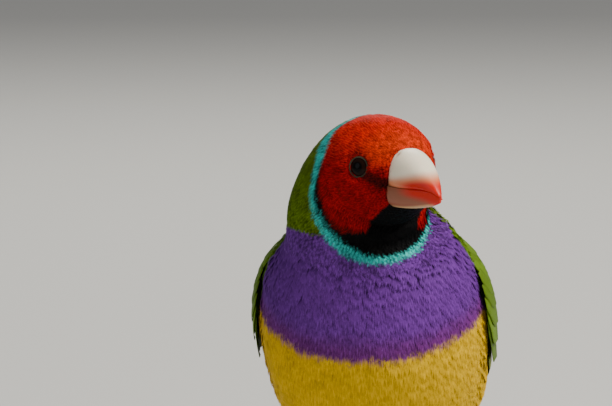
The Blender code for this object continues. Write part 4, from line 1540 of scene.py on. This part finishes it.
def legMaterial():
    made, tree, shader = newMaterial("legSkin")
    colour = mixColour(tree, noiseNode(tree, *foot["patches"]), *foot["skinColours"])
    colour = mixColour(tree, attributeNode(tree, "scuteGroove"), colour, foot["grooveColour"])
    finishSurface(tree, shader, colour, foot["surface"], noiseNode(tree, foot["grain"]), foot["bump"])
    return made


def clawMaterial():
    made, tree, shader = newMaterial("clawHorn")
    colour = mixColour(tree, noiseNode(tree, foot["clawGrain"]), *foot["clawColours"])
    finishSurface(tree, shader, colour, foot["clawSurface"])
    return made


legSkin, clawHorn = legMaterial(), clawMaterial()


def sweptTube(path, radii, around, floor=None, scutes=0, level=False):
    # A tube along a path; scutes raise overlapping plates on its upper side.
    path, radii = np.asarray(path, float), np.asarray(radii, float)
    along = np.gradient(path, axis=0)
    along /= np.linalg.norm(along, axis=1, keepdims=True)
    if level:
        side, top = np.tile([1.0, 0, 0], (len(path), 1)), np.tile([0, -1.0, 0], (len(path), 1))
    else:
        side = np.cross(along, [0, 0, 1.0])
        side /= np.linalg.norm(side, axis=1, keepdims=True)
        top = np.cross(side, along)
    turn = fullTurn(around)
    reach = np.concatenate([[0], np.cumsum(np.linalg.norm(np.diff(path, axis=0), axis=1))])
    phase = (reach / max(reach[-1], 1e-6) * scutes) % 1.0 if scutes else np.full(len(path), 0.5)
    front = np.clip(np.sin(turn), 0, 1)[None, :] ** 0.5
    plate = 0.085 * (1 - phase)[:, None] * front
    radius = radii[:, None] * (1 + plate)
    points = path[:, None] + radius[..., None] * (np.cos(turn)[None, :, None] * side[:, None]
                                                  + np.sin(turn)[None, :, None] * top[:, None])
    if floor is not None:
        points[..., 2] = np.maximum(points[..., 2], floor)
    groove = ramp(phase, 0.82, 1.0)[:, None] * front if scutes else 0 * radius
    return points, groove


class TubeHeap:
    def __init__(self):
        self.points, self.faces, self.groove = [], [], []

    def add(self, points, groove):
        rows, around = points.shape[:2]
        self.faces += tubeFaces(rows, around, sum(len(block) for block in self.points))
        self.points.append(points.reshape(-1, 3))
        self.groove.append(np.broadcast_to(groove, (rows, around)).ravel())

    def make(self, name, material):
        groove = {"scuteGroove": np.concatenate(self.groove)}
        return newMesh(name, np.concatenate(self.points), self.faces, material, groove)


def toePath(base, side, heading, start, length, steps):
    # The share along a toe or claw, and its points on the ground's plane.
    turn = math.radians(heading)
    ahead = np.array([side * math.sin(turn), -math.cos(turn), 0])
    share = np.linspace(0, 1, steps)
    return share, base + ahead * (start + length * share)[:, None]


def makeLeg(word, side):
    heap = TubeHeap()
    ankle, base = mirrored(legs["ankle"], side), mirrored(legs["foot"], side)
    share = np.linspace(0, 1, 120)
    raised = [0, 0, legs["shankTop"]]
    path = (ankle + raised) + (base - ankle - raised) * share[:, None]
    path[:, 1] += legs["shankBow"] * np.sin(math.pi * share)
    heap.add(*sweptTube(path, tableAt(share, legs["shankRadii"]), 20, 0.0, 9, level=True))
    for toe, (length, heading) in toes.items():
        share, path = toePath(base, side, heading, 0, length, 90)
        low = foot["toeHeight"]
        path[:, 2] = low + (base[2] - low) * np.clip(1 - share * 3.0, 0, 1)
        joints = 3 if toe != "hind" else 2
        radii = foot["toeRadius"] * (1 + foot["toePads"] * np.cos(share * joints * 2 * math.pi))
        narrowing, end = foot["toeEnd"]
        radii = radii * (1 - foot["toeTaper"] * share) * (1 - narrowing * ramp(share, *end))
        heap.add(*sweptTube(path, radii, 18, 0.0, 11 if toe == "middle" else 8))
    made = heap.make("leg" + word, legSkin)
    finishPiece(made, "leg_skin", "shank_" + word.lower(), "foot_" + word.lower())
    for toe, (length, heading) in toes.items():
        share, path = toePath(base, side, heading, length - 0.35, foot["clawLength"] + 0.65, 28)
        root, arch, drop = foot["clawHeights"]
        path[:, 2] = root + arch * np.sin(math.pi * np.minimum(1, share * 1.1)) - drop * share**2
        taper, power = foot["clawTaper"]
        claw = TubeHeap()
        claw.add(*sweptTube(path, foot["clawRadius"] * (1 - taper * share**power), 14, 0.02))
        made = claw.make(f"claw{toe.capitalize()}{word}", clawHorn)
        finishPiece(made, "claw", f"claw_{toe}_{word.lower()}")


makeLeg("Left", 1)
makeLeg("Right", -1)
print("legs made")

# Floor, light and camera

studio = {
    "floor": (0.62, 0.62, 0.60),
    "floorHalf": 6,
    "world": (0.96, 0.97, 1.0),
    "worldStrength": 0.22,
    "aim": (0, -0.03, 0.06),
    "key": ((0.50, -0.28, 0.66), 0.42, 11.0, (1.0, 0.95, 0.87)),
    "fill": ((-0.62, -0.55, 0.30), 0.60, 1.0, (0.92, 0.96, 1.0)),
    "rim": ((-0.10, 0.60, 0.50), 0.40, 2.5, (1.0, 0.97, 0.90)),
}
lens = {
    "azimuth": 6.5,
    "elevation": 8.0,
    "distance": 0.9,
    "frameWidth": 0.1046,
    "target": (-0.0113, -0.0314, 0.0705),
    "sensor": 36.0,
}


def makeFloor():
    half = studio["floorHalf"]
    mesh = bpy.data.meshes.new("studioFloor")
    corners = [(-half, -half, 0), (half, -half, 0), (half, half, 0), (-half, half, 0)]
    mesh.from_pydata(corners, [], [(0, 1, 2, 3)])
    material, tree, shader = newMaterial("paleFloor")
    shader.inputs["Base Color"].default_value = (*studio["floor"], 1)
    shader.inputs["Roughness"].default_value = 0.9
    mesh.materials.append(material)
    linkObject("studioFloor", mesh)


def makeLights():
    aim = Vector(studio["aim"])
    for name in ("key", "fill", "rim"):
        place, size, power, colour = studio[name]
        data = bpy.data.lights.new(name + "Light", "AREA")
        data.shape, data.size, data.energy, data.color = "DISK", size, power, colour
        made = linkObject(name + "Light", data)
        made.location = place
        made.rotation_euler = (aim - Vector(place)).to_track_quat("-Z", "Y").to_euler()
    world = bpy.data.worlds.new("studioWorld")
    world.use_nodes = True
    back = world.node_tree.nodes["Background"]
    back.inputs["Color"].default_value = (*studio["world"], 1)
    back.inputs["Strength"].default_value = studio["worldStrength"]
    bpy.context.scene.world = world


def makeCamera():
    a, e = math.radians(lens["azimuth"]), math.radians(lens["elevation"])
    back = Vector((math.sin(a) * math.cos(e), -math.cos(a) * math.cos(e), math.sin(e)))
    data = bpy.data.cameras.new("portraitCamera")
    data.sensor_width = lens["sensor"]
    data.lens = lens["sensor"] * lens["distance"] / lens["frameWidth"]
    data.clip_start, data.clip_end = 0.05, 20
    made = linkObject("portraitCamera", data)
    made.location = Vector(lens["target"]) + back * lens["distance"]
    made.rotation_euler = (-back).to_track_quat("-Z", "Y").to_euler()
    bpy.context.scene.camera = made


makeFloor()
makeLights()
makeCamera()
